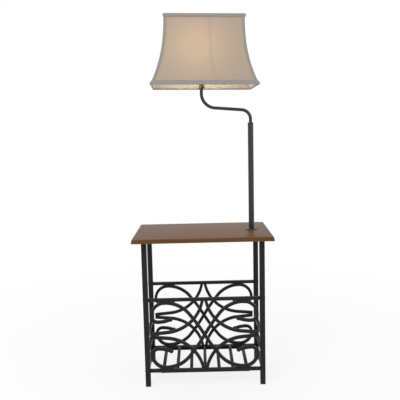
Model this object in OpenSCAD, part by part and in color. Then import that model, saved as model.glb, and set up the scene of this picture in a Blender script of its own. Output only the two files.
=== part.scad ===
// Floor lamp with a side table and a scrolled magazine rack.
// Millimetres. The origin is on the floor, midway between the four legs.
// +X is to the right, -Y is the front, +Z is up.

/* [Table top] */
// Width of the board
top_w = 540; // [480:5:620]
// Depth of the board
top_d = 350; // [300:5:420]
// Thickness of the board
top_t = 16; // [14:0.5:25]
// Height of the board's upper face above the floor
table_h = 604; // [520:2:700]
// Height of the straight lip at the foot of the moulded edge
lip_h = 6; // [4:0.5:8]
// Width of the small step above the lip
lip_step = 1.5; // [0.5:0.1:3]
// Radius of the round above the step
edge_r = 4.5; // [2:0.1:6]

/* [Frame] */
// Distance between the left and right legs, centre to centre
leg_span_x = 456; // [430:2:500]
// Distance between the front and rear legs, centre to centre
leg_span_y = 232; // [190:2:270]
// Outside width of the square leg tube
leg_s = 20; // [18:0.5:25]
// Wall of the leg tube
leg_wall = 1.5; // [1:0.1:2.5]
// Outside width of the square tube used for bars, side rails and floor bars
bar_s = 12.7; // [11:0.1:15]
// Wall of the bar tube
bar_wall = 1.2; // [1:0.1:2]
// Height of the lower bars' centre line above the floor
rack_low = 63; // [45:1:85]
// Height of the upper bars' centre line above the floor
rack_high = 352; // [320:1:385]
// Spacing of the side rails, centre to centre, up from the lower one
side_rail_pitch = 65; // [40:1:80]
// Thickness of the flat rail that lies under the board on each side
top_rail_t = 4; // [3:0.5:6]
// Width of that flat rail
top_rail_w = 25; // [22:0.5:30]
// Height of the foot plug's flange under the leg
foot_t = 4; // [2:0.5:10]
// Height of the foot plug's body inside the leg
foot_plug_h = 14; // [8:1:25]

/* [Scroll panels] */
// Width of the square rod the scrolls and curves are bent from
rod = 12; // [8:0.5:12.5]
// Gap between a scroll's outermost point and the leg beside it
scroll_gap = 4.5; // [2:0.5:10]
// Radius of the quarter round from the scroll's side to its peak
loop_r = 53; // [45:1:62]
// Radius of the tight quarter round into the hook
hook_r = 24.5; // [16:0.5:32]
// Radius of the hook's flat tail
tail_r = 130; // [100:5:300]
// Angle that the tail turns through
tail_turn = 22.5; // [8:0.5:26]
// Radius of the ball on the scroll's end
ball_r = 9; // [7:0.5:10]
// Slope of the scroll where it passes the panel's centre
centre_slope = 59.6; // [56:0.2:61]
// Angle of the nearly straight stretch next to the centre
centre_turn = 8.6; // [6:0.2:10]
// Distance from the panel's middle to a quarter curve's end on the bar
curve_start = 7.2; // [7:0.2:14]
// Slope of the quarter curve where it meets the bar
curve_steep = 79.4; // [74:0.2:82]
// Gap between the quarter curve's cut end and the leg
curve_gap = 5.5; // [3:0.5:12]
// Slope of the straight tail at the cut end
curve_flat = 5; // [2:0.2:8]
// Gap between the cut ends of an upper and a lower curve
curve_part = 0.1; // [0.1:0.1:6]

/* [Rack floor] */
// Spacing of the floor bars, centre to centre
floor_pitch = 55.2; // [40:0.2:64]
// Thickness of the flat strips under the ends of the floor bars
strip_t = 2; // [1.5:0.1:3]
// Width of those strips
strip_w = 20; // [18:0.5:24]

/* [Pole] */
// Distance of the pole to the right of the middle
pole_x = 201; // [170:1:202]
// Distance of the pole behind the middle
pole_y = 9; // [-20:1:20]
// Outside diameter of the pole
pole_d = 22.2; // [20:0.1:26]
// Wall of the pole tube
pole_wall = 1.2; // [1:0.1:2]
// Length of the pole tube
pole_len = 423; // [300:1:520]
// Diameter of the flange at the pole's foot
flange_d = 50; // [40:1:60]
// Thickness of that flange
flange_t = 3; // [2:0.5:6]
// Height of the shoulder on top of the pole
cap_h = 5; // [4:0.5:10]
// Height of the chamfer around that shoulder
cap_chamfer = 3.5; // [1:0.5:3.5]

/* [Arm] */
// Outside diameter of the arm tube
arm_d = 12.7; // [11.5:0.1:14]
// Wall of the arm tube
arm_wall = 1.2; // [0.8:0.1:1.2]
// How far the arm reaches to the left of the pole
arm_reach = 192.5; // [150:0.5:260]
// Straight length above the pole
arm_rise = 12; // [8:1:60]
// Radius of the lower bend, to the tube's centre line
lower_bend_r = 37; // [25:1:45]
// Radius of the upper bend, to the tube's centre line
upper_bend_r = 57; // [30:1:65]
// Angle that the level run climbs at
run_slope = 5; // [0:0.5:12]
// Straight length under the socket
arm_tail = 17; // [16:1:60]
// Lean of the arm's end, and of all that stands on it, to the right
head_lean = 2.75; // [0:0.05:4]

/* [Socket and bulb] */
// Outside diameter of the socket shell
socket_d = 32.4; // [30:0.2:36]
// Height of the socket's cap
socket_cap_h = 18; // [14:1:24]
// Height of the socket's shell
socket_h = 44; // [40:1:50]
// Diameter of the bulb at its widest
bulb_d = 60; // [50:1:66]
// Height of the bulb above the socket shell
bulb_h = 84; // [76:1:95]

/* [Harp] */
// Diameter of the harp's wire
harp_wire = 3.6; // [3:0.1:4.5]
// Height of the harp above the saddle
harp_h = 240; // [232:1:260]
// Half of the harp's greatest width, to the wire's centre
harp_half = 54; // [48:1:58]
// Half of the distance between the saddle's ears
ear_half = 24; // [20:0.5:26]
// Angle of the harp's plane from the front-to-rear direction
harp_turn = 18; // [0:1:90]

/* [Shade] */
// Width of the shade at the bottom
shade_w_low = 407; // [360:1:460]
// Depth of the shade at the bottom
shade_d_low = 245; // [225:1:290]
// Width of the shade at the top
shade_w_high = 301; // [250:1:330]
// Depth of the shade at the top
shade_d_high = 181; // [175:1:200]
// Height of the shade
shade_h = 263; // [240:1:275]
// How strongly the sides flare towards the bottom
flare = 2.4; // [1.5:0.1:3.5]
// Distance from the shade's top edge down to its seat on the harp
shade_drop = 24; // [16:1:30]
// Turn of the shade on the harp, as it stands
shade_turn = 2.2; // [0:0.1:6]
// Lean of the shade to the right, as it stands
shade_lean = 0.9; // [0:0.1:1.5]
// Thickness of the stiffened fabric
cover_t = 1.5; // [1:0.1:2.5]
// Thickness of the inner lining
lining_t = 0.8; // [0.5:0.1:1.2]
// Thickness of the trim braid
trim_t = 0.8; // [0.5:0.1:1.5]
// Height of the top trim
trim_high = 14; // [8:1:20]
// Height of the bottom trim
trim_low = 16; // [10:1:24]
// Width of the corner trim on each side of a corner
trim_corner = 9; // [5:0.5:14]
// Width of the square wire that the shade's frame is made of
wire_w = 3; // [2:0.1:4]

/* [Hidden] */
$fn = 64;
eps = 0.02;
fine = 96;
running = 0.05;     // radial clearance of a pin that turns, and of a thread
seat_gap = 0.3;     // gap between a turning piece and its seat
clear_hole = 0.3;   // radial clearance of a screw in its hole
top_under = table_h - top_t;
leg_top = top_under - top_rail_t;
leg_in = leg_s - 2 * leg_wall;
bar_in = bar_s - 2 * bar_wall;
leg_x = leg_span_x / 2;
leg_y = leg_span_y / 2;
leg_face = leg_x - leg_s / 2;
edge_step = lip_step + edge_r;

// Screws and bolts: shank radius, head radius, head height
bolt = [3, 6.5, 2];
rack_screw = [2.5, 4.75, 2.8];
wood_screw = [2.2, 4.2, 2];
insert_len = 15;
side_rail_count = 3;
rack_screw_grip = 5;
wood_screw_depth = 11;
table_screw_y = [-70, 0, 70];

// Threaded lamp pipe that holds the pole, the socket and the harp
pipe_r = 5;
pipe_bore = 3.4;
nut_flats = 17;
nut_t = 6;
lock_d = 28;
lock_t = 2;
pipe_below = 26;
pole_plug_h = 16;
bushing_r = 7.5;
bushing_h = 9;
bushing_lip = 3;
cord_r = 3.2;
flange_chamfer = 1.5;

// Scroll panel, seen from the front, with its middle at 0, 0
panel_z = (rack_low + rack_high) / 2;
panel_half = (rack_high - rack_low) / 2 - bar_s / 2;
peak_v = panel_half - rod / 2;
side_u = leg_face - scroll_gap - rod / 2;
peak_u = side_u - loop_r;
sweep_turn = centre_slope - centre_turn;
lap_play = 0.1;
path_step = 4;

// The two radii that carry the scroll from its peak down to the centre
scroll_radii = solve_pair(
    sin(sweep_turn), sin(centre_slope) - sin(sweep_turn),
    1 - cos(sweep_turn), cos(sweep_turn) - cos(centre_slope),
    peak_u, peak_v);

// A scroll's half, walked from the centre outwards: radius, left turn
scroll_steps = [
    [scroll_radii[1], centre_turn],
    [scroll_radii[0], sweep_turn],
    [loop_r, 90],
    [hook_r, 90],
    [tail_r, tail_turn]];

scroll_half = walk_points([0, 0], 180 - centre_slope, scroll_steps);
scroll_end = scroll_half[len(scroll_half) - 1];
weld_gap = 0.05;

// Quarter curve: a straight tail from its cut end, then one bend up to the bar
curve_from = [-(leg_face - curve_gap), (rod + curve_part) / 2];
curve_parts = solve_pair(
    cos(curve_flat), sin(curve_steep) - sin(curve_flat),
    sin(curve_flat), cos(curve_flat) - cos(curve_steep),
    -curve_start - curve_from[0], panel_half - curve_from[1]);
curve_bend = walk_points(curve_from + curve_parts[0] * along(curve_flat), curve_flat,
                         [[curve_parts[1], curve_steep - curve_flat]]);

floor_count = 7;
floor_len = leg_span_y - bar_s;
floor_out = (floor_count - 1) / 2 * floor_pitch;
strip_shift = 5;
strip_over = 9.4;

// Pole and arm
pole_foot = table_h + flange_t;
cap_z = pole_foot + pole_len + cap_h;
cap_spigot = 20;
cap_bore_r = pipe_r + running;
arm_r = arm_d / 2;
arm_bore = arm_r - arm_wall;
arm_z = cap_z + seat_gap;
joint_cut = 0.1;
joint_proud = 0.02;
pin_in_arm = 10;
pin_below = cap_h + cap_spigot + 8;
swivel_nut_t = 5;
swivel_nut_r = 7.5;
run_heading = 180 - run_slope;
head_heading = 90 - head_lean;
lower_bend = lower_bend_r * [sin(run_heading) - 1, -cos(run_heading)];
upper_bend = upper_bend_r * [sin(run_heading) - sin(head_heading),
                             cos(head_heading) - cos(run_heading)];
run_len = (arm_reach + lower_bend[0] + upper_bend[0] + arm_tail * cos(head_heading))
    / cos(run_slope);
bend_a = [0, arm_rise];
bend_b = bend_a + lower_bend;
bend_c = bend_b + run_len * along(run_heading);
bend_d = bend_c + upper_bend;
arm_end = bend_d + arm_tail * along(head_heading);
head_x = pole_x + arm_end[0];
head_z = arm_z + arm_end[1];

// Head, measured up its own leaning axis from the arm's end
saddle_t = 2;
saddle_w = 14;
nipple_down = 14;
socket_wall = 0.9;
cap_neck_r = 8;
cap_neck_h = 8;
socket_z = saddle_t + socket_cap_h;
core_wall = 1.6;
base_r = 13;
base_z = socket_z + 14;
socket_top = socket_z + socket_h;
bulb_neck_r = 12.6;
bulb_r = bulb_d / 2;
bulb_z = socket_top + bulb_h - bulb_r;
bulb_wall = 1;
bulb_cone = 40;
knob_z = socket_z + 8;
knob_r = 5;
knob_len = 18;
stem_r = 2;
stem_in = 4;
stem_out = 12;

// Harp
ear_pin_r = 2;
ear_slope = 60;
ferrule_r = 3.4;
ferrule_len = 14;
ear_z = 7;
ear_len = 6;
pad_r = 7;
pad_t = 9;
pad_over = 4;
stud_r = 3;
stud_len = 20;
harp_low_r = (harp_half - harp_foot()[0]) / (1 - sin(ear_slope));
harp_mid_z = harp_foot()[1] + harp_low_r * cos(ear_slope);
harp_shoulder = 115;
harp_top_x = 3;
harp_radii = solve_pair(
    1 - sin(harp_shoulder), sin(harp_shoulder),
    -cos(harp_shoulder), 1 + cos(harp_shoulder),
    harp_half - harp_top_x, harp_h - harp_wire / 2 - harp_mid_z);
seat_h = harp_h + pad_over;

// Shade
seat_x = head_x + (seat_h + seat_gap) * sin(head_lean);
seat_z = head_z + (seat_h + seat_gap) * cos(head_lean);
washer_t = 2;
washer_r = 14;
washer_bore = stud_r + 0.8;
flare_steps = 14;
shade_top = shade_drop;
shade_foot = shade_drop - shade_h;
frame_play = 0.05;
steep = max(steepest(shade_w_low, shade_w_high), steepest(shade_d_low, shade_d_high));
frame_in = cover_t + lining_t + frame_play * sqrt(1 + steep * steep);
spider_w = 6;
spider_t = 1.6;
spider_knee = 0.5;
finial_r = 8;
finial_foot_r = 6.5;
finial_foot_h = 4;
finial_h = 20;

// ---------------------------------------------------------------- geometry helpers

function along(heading) = [cos(heading), sin(heading)];

// Solves a*x + b*y = e and c*x + d*y = f
function solve_pair(a, b, c, d, e, f) =
    [e * d - b * f, a * f - e * c] / (a * d - b * c);

// End of an arc of radius r that starts at p with a heading and turns left by turn
function arc_end(p, heading, r, turn) =
    p + r * [sin(heading + turn) - sin(heading), cos(heading) - cos(heading + turn)];

// Where the harp's wire leaves its ferrule
function harp_foot() = [ear_half, ear_z] + ferrule_len * along(ear_slope);

// Half width or half depth of the shade at height t, from 0 at its foot to 1 at its top
function flared(low, high, t) = high / 2 + (low - high) / 2 * pow(1 - t, flare);

// Steepest slope of the shade's sides
function steepest(low, high) =
    (flared(low, high, 0) - flared(low, high, 1 / flare_steps)) * flare_steps / shade_h;

// Points every few degrees along a chain of left-turning arcs, each with its heading
function walk_points(p, heading, steps, i = 0) =
    i == len(steps) ? [[p, heading]]
    : let (r = steps[i][0], turn = steps[i][1], n = ceil(turn / path_step))
      concat([for (k = [0 : n - 1])
                  [arc_end(p, heading, r, turn * k / n), heading + turn * k / n]],
             walk_points(arc_end(p, heading, r, turn), heading + turn, steps, i + 1));

// Outline of a rod of some width that follows such points
function rod_outline(points, width) = concat(
    [for (q = points) q[0] + width / 2 * along(q[1] - 90)],
    [for (i = [len(points) - 1 : -1 : 0])
        points[i][0] + width / 2 * along(points[i][1] + 90)]);

// The same points turned half a turn and walked the other way
function turned_back(points) =
    [for (i = [len(points) - 1 : -1 : 1]) [-points[i][0], points[i][1]]];

// Square tube along X, centred
module tube_x(length, outer, inner) {
    difference() {
        cube([length, outer, outer], center = true);
        cube([length + 2, inner, inner], center = true);
    }
}

// Low dome of radius r and height h, its flat side on z = 0
module dome(r, h) {
    ball = (r * r + h * h) / (2 * h);
    intersection() {
        cylinder(r = r, h = h);
        translate([0, 0, h - ball])
            sphere(r = ball, $fn = fine);
    }
}

// Screw with its head's flat side on z = 0 and its shank going down
module dome_screw(size, length) {
    dome(size[1], size[2]);
    translate([0, 0, -length])
        cylinder(r = size[0], h = length + eps);
}

// ---------------------------------------------------------------- table top

// Outline of the board's edge: lip, step, round
module board_profile(width) {
    translate([-width / 2, 0])
        square([width, lip_h]);
    translate([-width / 2 + lip_step, 0])
        square([width - 2 * lip_step, top_t - edge_r]);
    translate([-width / 2 + edge_step, 0])
        square([width - 2 * edge_step, top_t]);
    for (side = [-1, 1])
        translate([side * (width / 2 - edge_step), top_t - edge_r])
            circle(r = edge_r);
}

module at_table_screws() {
    for (side = [-1, 1], y = table_screw_y)
        translate([side * leg_x, y, leg_top])
            children();
}

module table_top() {
    color([0.42, 0.30, 0.22])
    difference() {
        translate([0, 0, top_under])
            intersection() {
                rotate([90, 0, 0])
                    linear_extrude(top_d, center = true)
                        board_profile(top_w);
                rotate([90, 0, 90])
                    linear_extrude(top_w, center = true)
                        board_profile(top_d);
            }
        at_table_screws()
            cylinder(r = wood_screw[0] + running, h = top_rail_t + wood_screw_depth + 0.5);
        translate([pole_x, pole_y, top_under - 1])
            cylinder(r = pipe_r + clear_hole, h = top_t + 2);
    }
}

// ---------------------------------------------------------------- frame

module leg(side, end) {
    color([0.17, 0.18, 0.19])
    translate([side * leg_x, end * leg_y, 0])
        difference() {
            translate([-leg_s / 2, -leg_s / 2, foot_t])
                cube([leg_s, leg_s, leg_top - foot_t]);
            translate([-leg_in / 2, -leg_in / 2, 0])
                cube([leg_in, leg_in, leg_top + 1]);
            for (z = [rack_low, rack_high])
                translate([0, 0, z])
                    rotate([0, 90, 0])
                        cylinder(r = bolt[0] + clear_hole, h = leg_s + 2, center = true);
        }
}

module foot_plugs() {
    color([0.1, 0.1, 0.1])
    for (side = [-1, 1], end = [-1, 1])
        translate([side * leg_x, end * leg_y, 0]) {
            translate([-leg_s / 2, -leg_s / 2, 0])
                cube([leg_s, leg_s, foot_t]);
            translate([-leg_in / 2, -leg_in / 2, 0])
                cube([leg_in, leg_in, foot_t + foot_plug_h]);
        }
}

module top_rails() {
    color([0.17, 0.18, 0.19])
    for (side = [-1, 1])
        difference() {
            translate([side * leg_x - top_rail_w / 2, -leg_y - leg_s / 2, leg_top])
                cube([top_rail_w, leg_span_y + leg_s, top_rail_t]);
            for (y = table_screw_y)
                translate([side * leg_x, y, leg_top - 1])
                    cylinder(r = wood_screw[0] + clear_hole, h = top_rail_t + 2);
        }
}

module side_rails(side) {
    color([0.17, 0.18, 0.19])
    for (level = [0 : side_rail_count - 1])
        translate([side * leg_x, 0, rack_low + level * side_rail_pitch])
            rotate([0, 0, 90])
                tube_x(leg_span_y - leg_s, bar_s, bar_in);
}

module bar(end, height) {
    color([0.17, 0.18, 0.19])
    translate([0, end * leg_y, height])
        difference() {
            tube_x(2 * leg_face, bar_s, bar_in);
            if (height == rack_low)
                for (side = [-1, 1])
                    translate([side * floor_out, 0, -bar_s / 2 - 1])
                        cylinder(r = rack_screw[0] + running, h = bar_wall + 2);
        }
}

module bar_inserts() {
    color([0.6, 0.6, 0.6])
    for (side = [-1, 1], end = [-1, 1], z = [rack_low, rack_high])
        translate([side * (leg_face - insert_len / 2), end * leg_y, z])
            difference() {
                cube([insert_len, bar_in, bar_in], center = true);
                rotate([0, 90, 0])
                    cylinder(r = bolt[0] + running, h = insert_len + 2, center = true);
            }
}

module frame_bolts() {
    color([0.17, 0.18, 0.19])
    for (side = [-1, 1], end = [-1, 1], z = [rack_low, rack_high])
        translate([side * (leg_x + leg_s / 2), end * leg_y, z])
            rotate([0, side * 90, 0])
                dome_screw(bolt, leg_s + insert_len - 3);
}

// ---------------------------------------------------------------- scroll panels

// Places a drawing made in the panel's plane, which is the middle plane of the bars
module in_panel(end) {
    translate([0, end * leg_y, panel_z])
        rotate([90, 0, 0])
            children();
}

// Plan of one S-scroll from ball to ball, with some play around it
module scroll_plan(play) {
    polygon(rod_outline(concat(turned_back(scroll_half), scroll_half), rod + 2 * play));
}

module scroll_shape() {
    linear_extrude(rod, center = true)
        scroll_plan(0);
    for (half = [0, 180])
        rotate([0, 0, half])
            translate(scroll_end[0])
                rotate([0, 0, scroll_end[1]])
                    sphere(r = ball_r);
}

// Room for the other scroll where the two are halved into each other
module scroll_lap(slope, face) {
    rotate([0, 0, slope])
        translate([0, 0, face * (rod / 4 + 1)])
            cube([4 * rod, rod + 2 * lap_play, rod / 2 + 2], center = true);
}

module scroll_a(end) {
    color([0.17, 0.18, 0.19])
    in_panel(end)
        difference() {
            scroll_shape();
            scroll_lap(centre_slope, 1);
        }
}

module scroll_b(end) {
    color([0.17, 0.18, 0.19])
    in_panel(end)
        difference() {
            mirror([1, 0, 0])
                scroll_shape();
            scroll_lap(-centre_slope, -1);
        }
}

// Upper left quarter curve. It is cut off level at the bar, and cut in two where the
// scroll passes through it, so that both parts are welded to the scroll.
module quarter_curve() {
    top = curve_bend[len(curve_bend) - 1];
    linear_extrude(rod, center = true)
        difference() {
            intersection() {
                polygon(rod_outline(concat(
                    [[curve_from, curve_flat]], curve_bend,
                    [[top[0] + rod * along(top[1]), top[1]]]), rod));
                translate([-2 * leg_x, -leg_x])
                    square([2 * leg_x, leg_x + panel_half]);
            }
            scroll_plan(weld_gap);
        }
}

module curves(end, half) {
    color([0.17, 0.18, 0.19])
    in_panel(end)
        for (side = [0, 1])
            mirror([0, half, 0])
                mirror([side, 0, 0])
                    quarter_curve();
}

// ---------------------------------------------------------------- rack floor

module floor_bar(i) {
    color([0.17, 0.18, 0.19])
    translate([(i - (floor_count + 1) / 2) * floor_pitch, 0, rack_low])
        rotate([0, 0, 90])
            tube_x(floor_len, bar_s, bar_in);
}

// Flat strips that the floor bars are welded on, screwed under the lower bars
module floor_strips() {
    length = 2 * (floor_out + strip_over);
    color([0.17, 0.18, 0.19])
    for (end = [-1, 1])
        translate([0, end * leg_y, rack_low - bar_s / 2 - strip_t])
            difference() {
                translate([-length / 2, -end * strip_shift - strip_w / 2, 0])
                    cube([length, strip_w, strip_t]);
                for (side = [-1, 1])
                    translate([side * floor_out, 0, -1])
                        cylinder(r = rack_screw[0] + clear_hole, h = strip_t + 2);
            }
}

module rack_screws() {
    color([0.17, 0.18, 0.19])
    for (side = [-1, 1], end = [-1, 1])
        translate([side * floor_out, end * leg_y, rack_low - bar_s / 2 - strip_t])
            rotate([180, 0, 0])
                dome_screw(rack_screw, strip_t + rack_screw_grip);
}

module table_screws() {
    color([0.6, 0.6, 0.6])
    at_table_screws()
        rotate([180, 0, 0])
            dome_screw(wood_screw, top_rail_t + wood_screw_depth);
}

// ---------------------------------------------------------------- pole

module at_pole(z) {
    translate([pole_x, pole_y, z])
        children();
}

module ring(outer, inner, h) {
    difference() {
        cylinder(r = outer, h = h, $fn = fine);
        translate([0, 0, -1])
            cylinder(r = inner, h = h + 2, $fn = fine);
    }
}

module pole_flange() {
    color([0.2, 0.21, 0.22])
    at_pole(table_h)
        difference() {
            union() {
                cylinder(r = flange_d / 2, h = flange_t - flange_chamfer, $fn = fine);
                translate([0, 0, flange_t - flange_chamfer])
                    cylinder(r1 = flange_d / 2, r2 = flange_d / 2 - flange_chamfer,
                             h = flange_chamfer, $fn = fine);
            }
            translate([0, 0, -1])
                cylinder(r = pipe_r + clear_hole, h = flange_t + 2);
        }
}

// Tube with a threaded plug fixed in its foot
module pole_tube() {
    inner = pole_d / 2 - pole_wall;
    color([0.2, 0.21, 0.22])
    at_pole(pole_foot) {
        ring(pole_d / 2, inner, pole_len);
        ring(inner + eps, pipe_r + running, pole_plug_h);
    }
}

module pole_nipple() {
    color([0.6, 0.6, 0.6])
    at_pole(top_under - pipe_below)
        ring(pipe_r, pipe_bore, pipe_below + top_t + flange_t + pole_plug_h - 2);
}

// Washer and hexagonal nut that clamp the pole to the board
module pole_lock() {
    color([0.6, 0.6, 0.6])
    at_pole(top_under - lock_t) {
        ring(lock_d / 2, pipe_r + running, lock_t);
        translate([0, 0, -nut_t])
            difference() {
                cylinder(r = nut_flats / sqrt(3), h = nut_t + eps, $fn = 6);
                translate([0, 0, -1])
                    cylinder(r = pipe_r + running, h = nut_t + 2);
            }
    }
}

// Plastic bushing on the nipple's lower end, where the cord goes in
module cord_bushing() {
    color([0.1, 0.1, 0.1])
    at_pole(top_under - pipe_below - bushing_lip)
        difference() {
            cylinder(r = bushing_r, h = bushing_h, $fn = fine);
            translate([0, 0, -1])
                cylinder(r = cord_r, h = bushing_h + 2);
            translate([0, 0, bushing_lip])
                cylinder(r = pipe_r + running, h = bushing_h);
        }
}

// Turned cap that closes the pole, with the bearing bore for the arm's pin
module pole_cap() {
    color([0.2, 0.21, 0.22])
    at_pole(cap_z)
        difference() {
            union() {
                translate([0, 0, -cap_chamfer])
                    cylinder(r1 = pole_d / 2, r2 = pole_d / 2 - cap_chamfer,
                             h = cap_chamfer, $fn = fine);
                translate([0, 0, -cap_h])
                    cylinder(r = pole_d / 2, h = cap_h - cap_chamfer + eps, $fn = fine);
                translate([0, 0, -cap_h - cap_spigot])
                    cylinder(r = pole_d / 2 - pole_wall, h = cap_spigot + eps, $fn = fine);
            }
            translate([0, 0, -cap_h - cap_spigot - 1])
                cylinder(r = cap_bore_r, h = cap_h + cap_spigot + 2, $fn = fine);
        }
}

// ---------------------------------------------------------------- arm

// Straight stretch and bend of a round rod in the XZ plane. Each stops a little short
// of its joints, and a ball closes the joint.
module rod_straight(p, heading, length, r) {
    translate([p[0], 0, p[1]])
        rotate([0, 90 - heading, 0])
            translate([0, 0, joint_cut])
                cylinder(r = r, h = length - 2 * joint_cut, $fn = fine);
}

module rod_bend(p, heading, bend_r, turn, r) {
    side = turn > 0 ? 90 : -90;
    centre = p + bend_r * along(heading + side);
    cut = joint_cut / bend_r * 180 / PI;
    translate([centre[0], 0, centre[1]])
        rotate([90, 0, 0])
            rotate([0, 0, heading - side + min(turn, 0) + cut])
                rotate_extrude(angle = abs(turn) - 2 * cut, $fn = fine)
                    translate([bend_r, 0])
                        circle(r = r);
}

module rod_joint(p, r) {
    translate([p[0], 0, p[1]])
        sphere(r = r + joint_proud);
}

// The arm's whole run as a solid rod, run on past both ends by over
module arm_run(r, over) {
    rod_straight([0, -over], 90, arm_rise + over, r);
    rod_joint(bend_a, r);
    rod_bend(bend_a, 90, lower_bend_r, run_heading - 90, r);
    rod_joint(bend_b, r);
    rod_straight(bend_b, run_heading, run_len, r);
    rod_joint(bend_c, r);
    rod_bend(bend_c, run_heading, upper_bend_r, head_heading - run_heading, r);
    rod_joint(bend_d, r);
    rod_straight(bend_d, head_heading, arm_tail + over, r);
}

module arm_tube() {
    color([0.26, 0.27, 0.28])
    translate([pole_x, pole_y, arm_z])
        difference() {
            arm_run(arm_r, joint_cut);
            arm_run(arm_bore, 1);
        }
}

// Hollow pin that the arm turns on, with the nut that keeps it in the cap
module swivel_pin() {
    color([0.6, 0.6, 0.6])
    at_pole(arm_z) {
        translate([0, 0, -seat_gap - pin_below])
            ring(pipe_r, pipe_bore, pin_below + seat_gap + eps);
        ring(arm_bore, pipe_bore, pin_in_arm);
        translate([0, 0, -2 * seat_gap - cap_h - cap_spigot - swivel_nut_t])
            ring(swivel_nut_r, pipe_r - eps, swivel_nut_t);
    }
}

// ---------------------------------------------------------------- socket, bulb, harp

// Places a drawing on the arm's end, leaning with it
module on_head() {
    translate([head_x, pole_y, head_z])
        rotate([0, head_lean, 0])
            children();
}

// Flat saddle with two slanted pins for the harp's feet, on a threaded nipple
module harp_saddle() {
    color([0.75, 0.62, 0.35])
    on_head() {
        rotate([0, 0, 90 + harp_turn]) {
            difference() {
                translate([-ear_half, -saddle_w / 2, 0])
                    cube([2 * ear_half, saddle_w, saddle_t]);
                translate([0, 0, -1])
                    cylinder(r = pipe_r - eps, h = saddle_t + 2);
            }
            for (side = [0, 180])
                rotate([0, 0, side])
                    at_ear() {
                        translate([0, 0, -ear_len])
                            cylinder(r = ferrule_r, h = ear_len);
                        translate([0, 0, -eps])
                            cylinder(r = ear_pin_r, h = ferrule_len - 2);
                    }
        }
        translate([0, 0, -nipple_down])
            ring(arm_bore, pipe_bore, nipple_down);
        ring(pipe_r, pipe_bore, saddle_t + cap_neck_h + 2);
    }
}

// Foot of the harp's right-hand wire, with z along the ferrule
module at_ear() {
    translate([ear_half, 0, ear_z])
        rotate([0, 90 - ear_slope, 0])
            children();
}

// Bell-shaped socket cap, drawn as a turned shell
module socket_cap() {
    outer = socket_d / 2;
    color([0.75, 0.62, 0.35])
    on_head()
        translate([0, 0, saddle_t])
            rotate_extrude($fn = fine)
                polygon([
                    [pipe_r + running, 0],
                    [cap_neck_r, 0],
                    [cap_neck_r, cap_neck_h - 2],
                    [outer - 2, socket_cap_h - 6],
                    [outer, socket_cap_h - 3],
                    [outer, socket_cap_h],
                    [outer - socket_wall, socket_cap_h],
                    [outer - 2 - socket_wall, socket_cap_h - 5],
                    [cap_neck_r, cap_neck_h],
                    [pipe_r + running, cap_neck_h]]);
}

module at_knob() {
    on_head()
        translate([0, 0, knob_z])
            rotate([90, 0, 90])
                children();
}

module socket_shell() {
    outer = socket_d / 2;
    color([0.75, 0.62, 0.35])
    difference() {
        on_head()
            translate([0, 0, socket_z])
                ring(outer, outer - socket_wall, socket_h);
        at_knob()
            cylinder(r = stem_r + running, h = outer + 2);
    }
}

// Moulded insulator with the pocket that the bulb's base screws into
module socket_core() {
    outer = socket_d / 2 - socket_wall;
    color([0.12, 0.1, 0.09])
    difference() {
        on_head()
            difference() {
                translate([0, 0, socket_z])
                    cylinder(r = outer, h = socket_h - 2, $fn = fine);
                translate([0, 0, base_z])
                    cylinder(r = base_r + running, h = socket_h, $fn = fine);
            }
        at_knob()
            translate([0, 0, outer - stem_in - seat_gap])
                cylinder(r = stem_r + running, h = stem_in + 2);
    }
}

// Turn knob on its stem, which points to the right
module switch_knob() {
    outer = socket_d / 2;
    color([0.1, 0.1, 0.1])
    at_knob() {
        translate([0, 0, outer - socket_wall - stem_in])
            cylinder(r = stem_r, h = stem_in + socket_wall + stem_out);
        translate([0, 0, outer + stem_out - knob_len / 2])
            cylinder(r = knob_r, h = knob_len / 2);
        translate([-knob_r / 4, -knob_r - 2, outer + stem_out - knob_len / 2])
            cube([knob_r / 2, 2 * knob_r + 4, knob_len / 2]);
    }
}

module bulb_base() {
    color([0.8, 0.8, 0.78])
    on_head()
        translate([0, 0, base_z]) {
            cylinder(r = base_r, h = socket_top - base_z, $fn = fine);
            translate([0, 0, socket_top - base_z])
                cylinder(r = bulb_neck_r - bulb_wall, h = 3);
        }
}

// Glass envelope, drawn as a turned shell: neck, cone and ball
module bulb_glass() {
    color([0.95, 0.93, 0.88])
    on_head()
        difference() {
            bulb_body(bulb_r, bulb_neck_r, 0);
            bulb_body(bulb_r - bulb_wall, bulb_neck_r - bulb_wall, 1);
        }
}

// Ball and neck joined by a cone that touches the ball smoothly
module bulb_body(ball, neck, below) {
    meet_r = ball * cos(bulb_cone);
    meet_z = bulb_z - ball * sin(bulb_cone);
    cone_h = (meet_r - neck) / tan(bulb_cone);
    translate([0, 0, bulb_z])
        sphere(r = ball, $fn = fine);
    translate([0, 0, meet_z - cone_h])
        cylinder(r1 = neck, r2 = meet_r, h = cone_h, $fn = fine);
    translate([0, 0, socket_top - below])
        cylinder(r = neck, h = meet_z - cone_h - socket_top + below + eps, $fn = fine);
}

// One side of the harp's wire, from its ferrule to the pad
module harp_side() {
    r = harp_wire / 2;
    side = arc_end(harp_foot(), ear_slope, harp_low_r, 90 - ear_slope);
    shoulder = arc_end(side, 90, harp_radii[0], harp_shoulder - 90);
    rod_bend(harp_foot(), ear_slope, harp_low_r, 90 - ear_slope, r);
    rod_joint(side, r);
    rod_bend(side, 90, harp_radii[0], harp_shoulder - 90, r);
    rod_joint(shoulder, r);
    rod_bend(shoulder, harp_shoulder, harp_radii[1], 180 - harp_shoulder, r);
}

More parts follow.
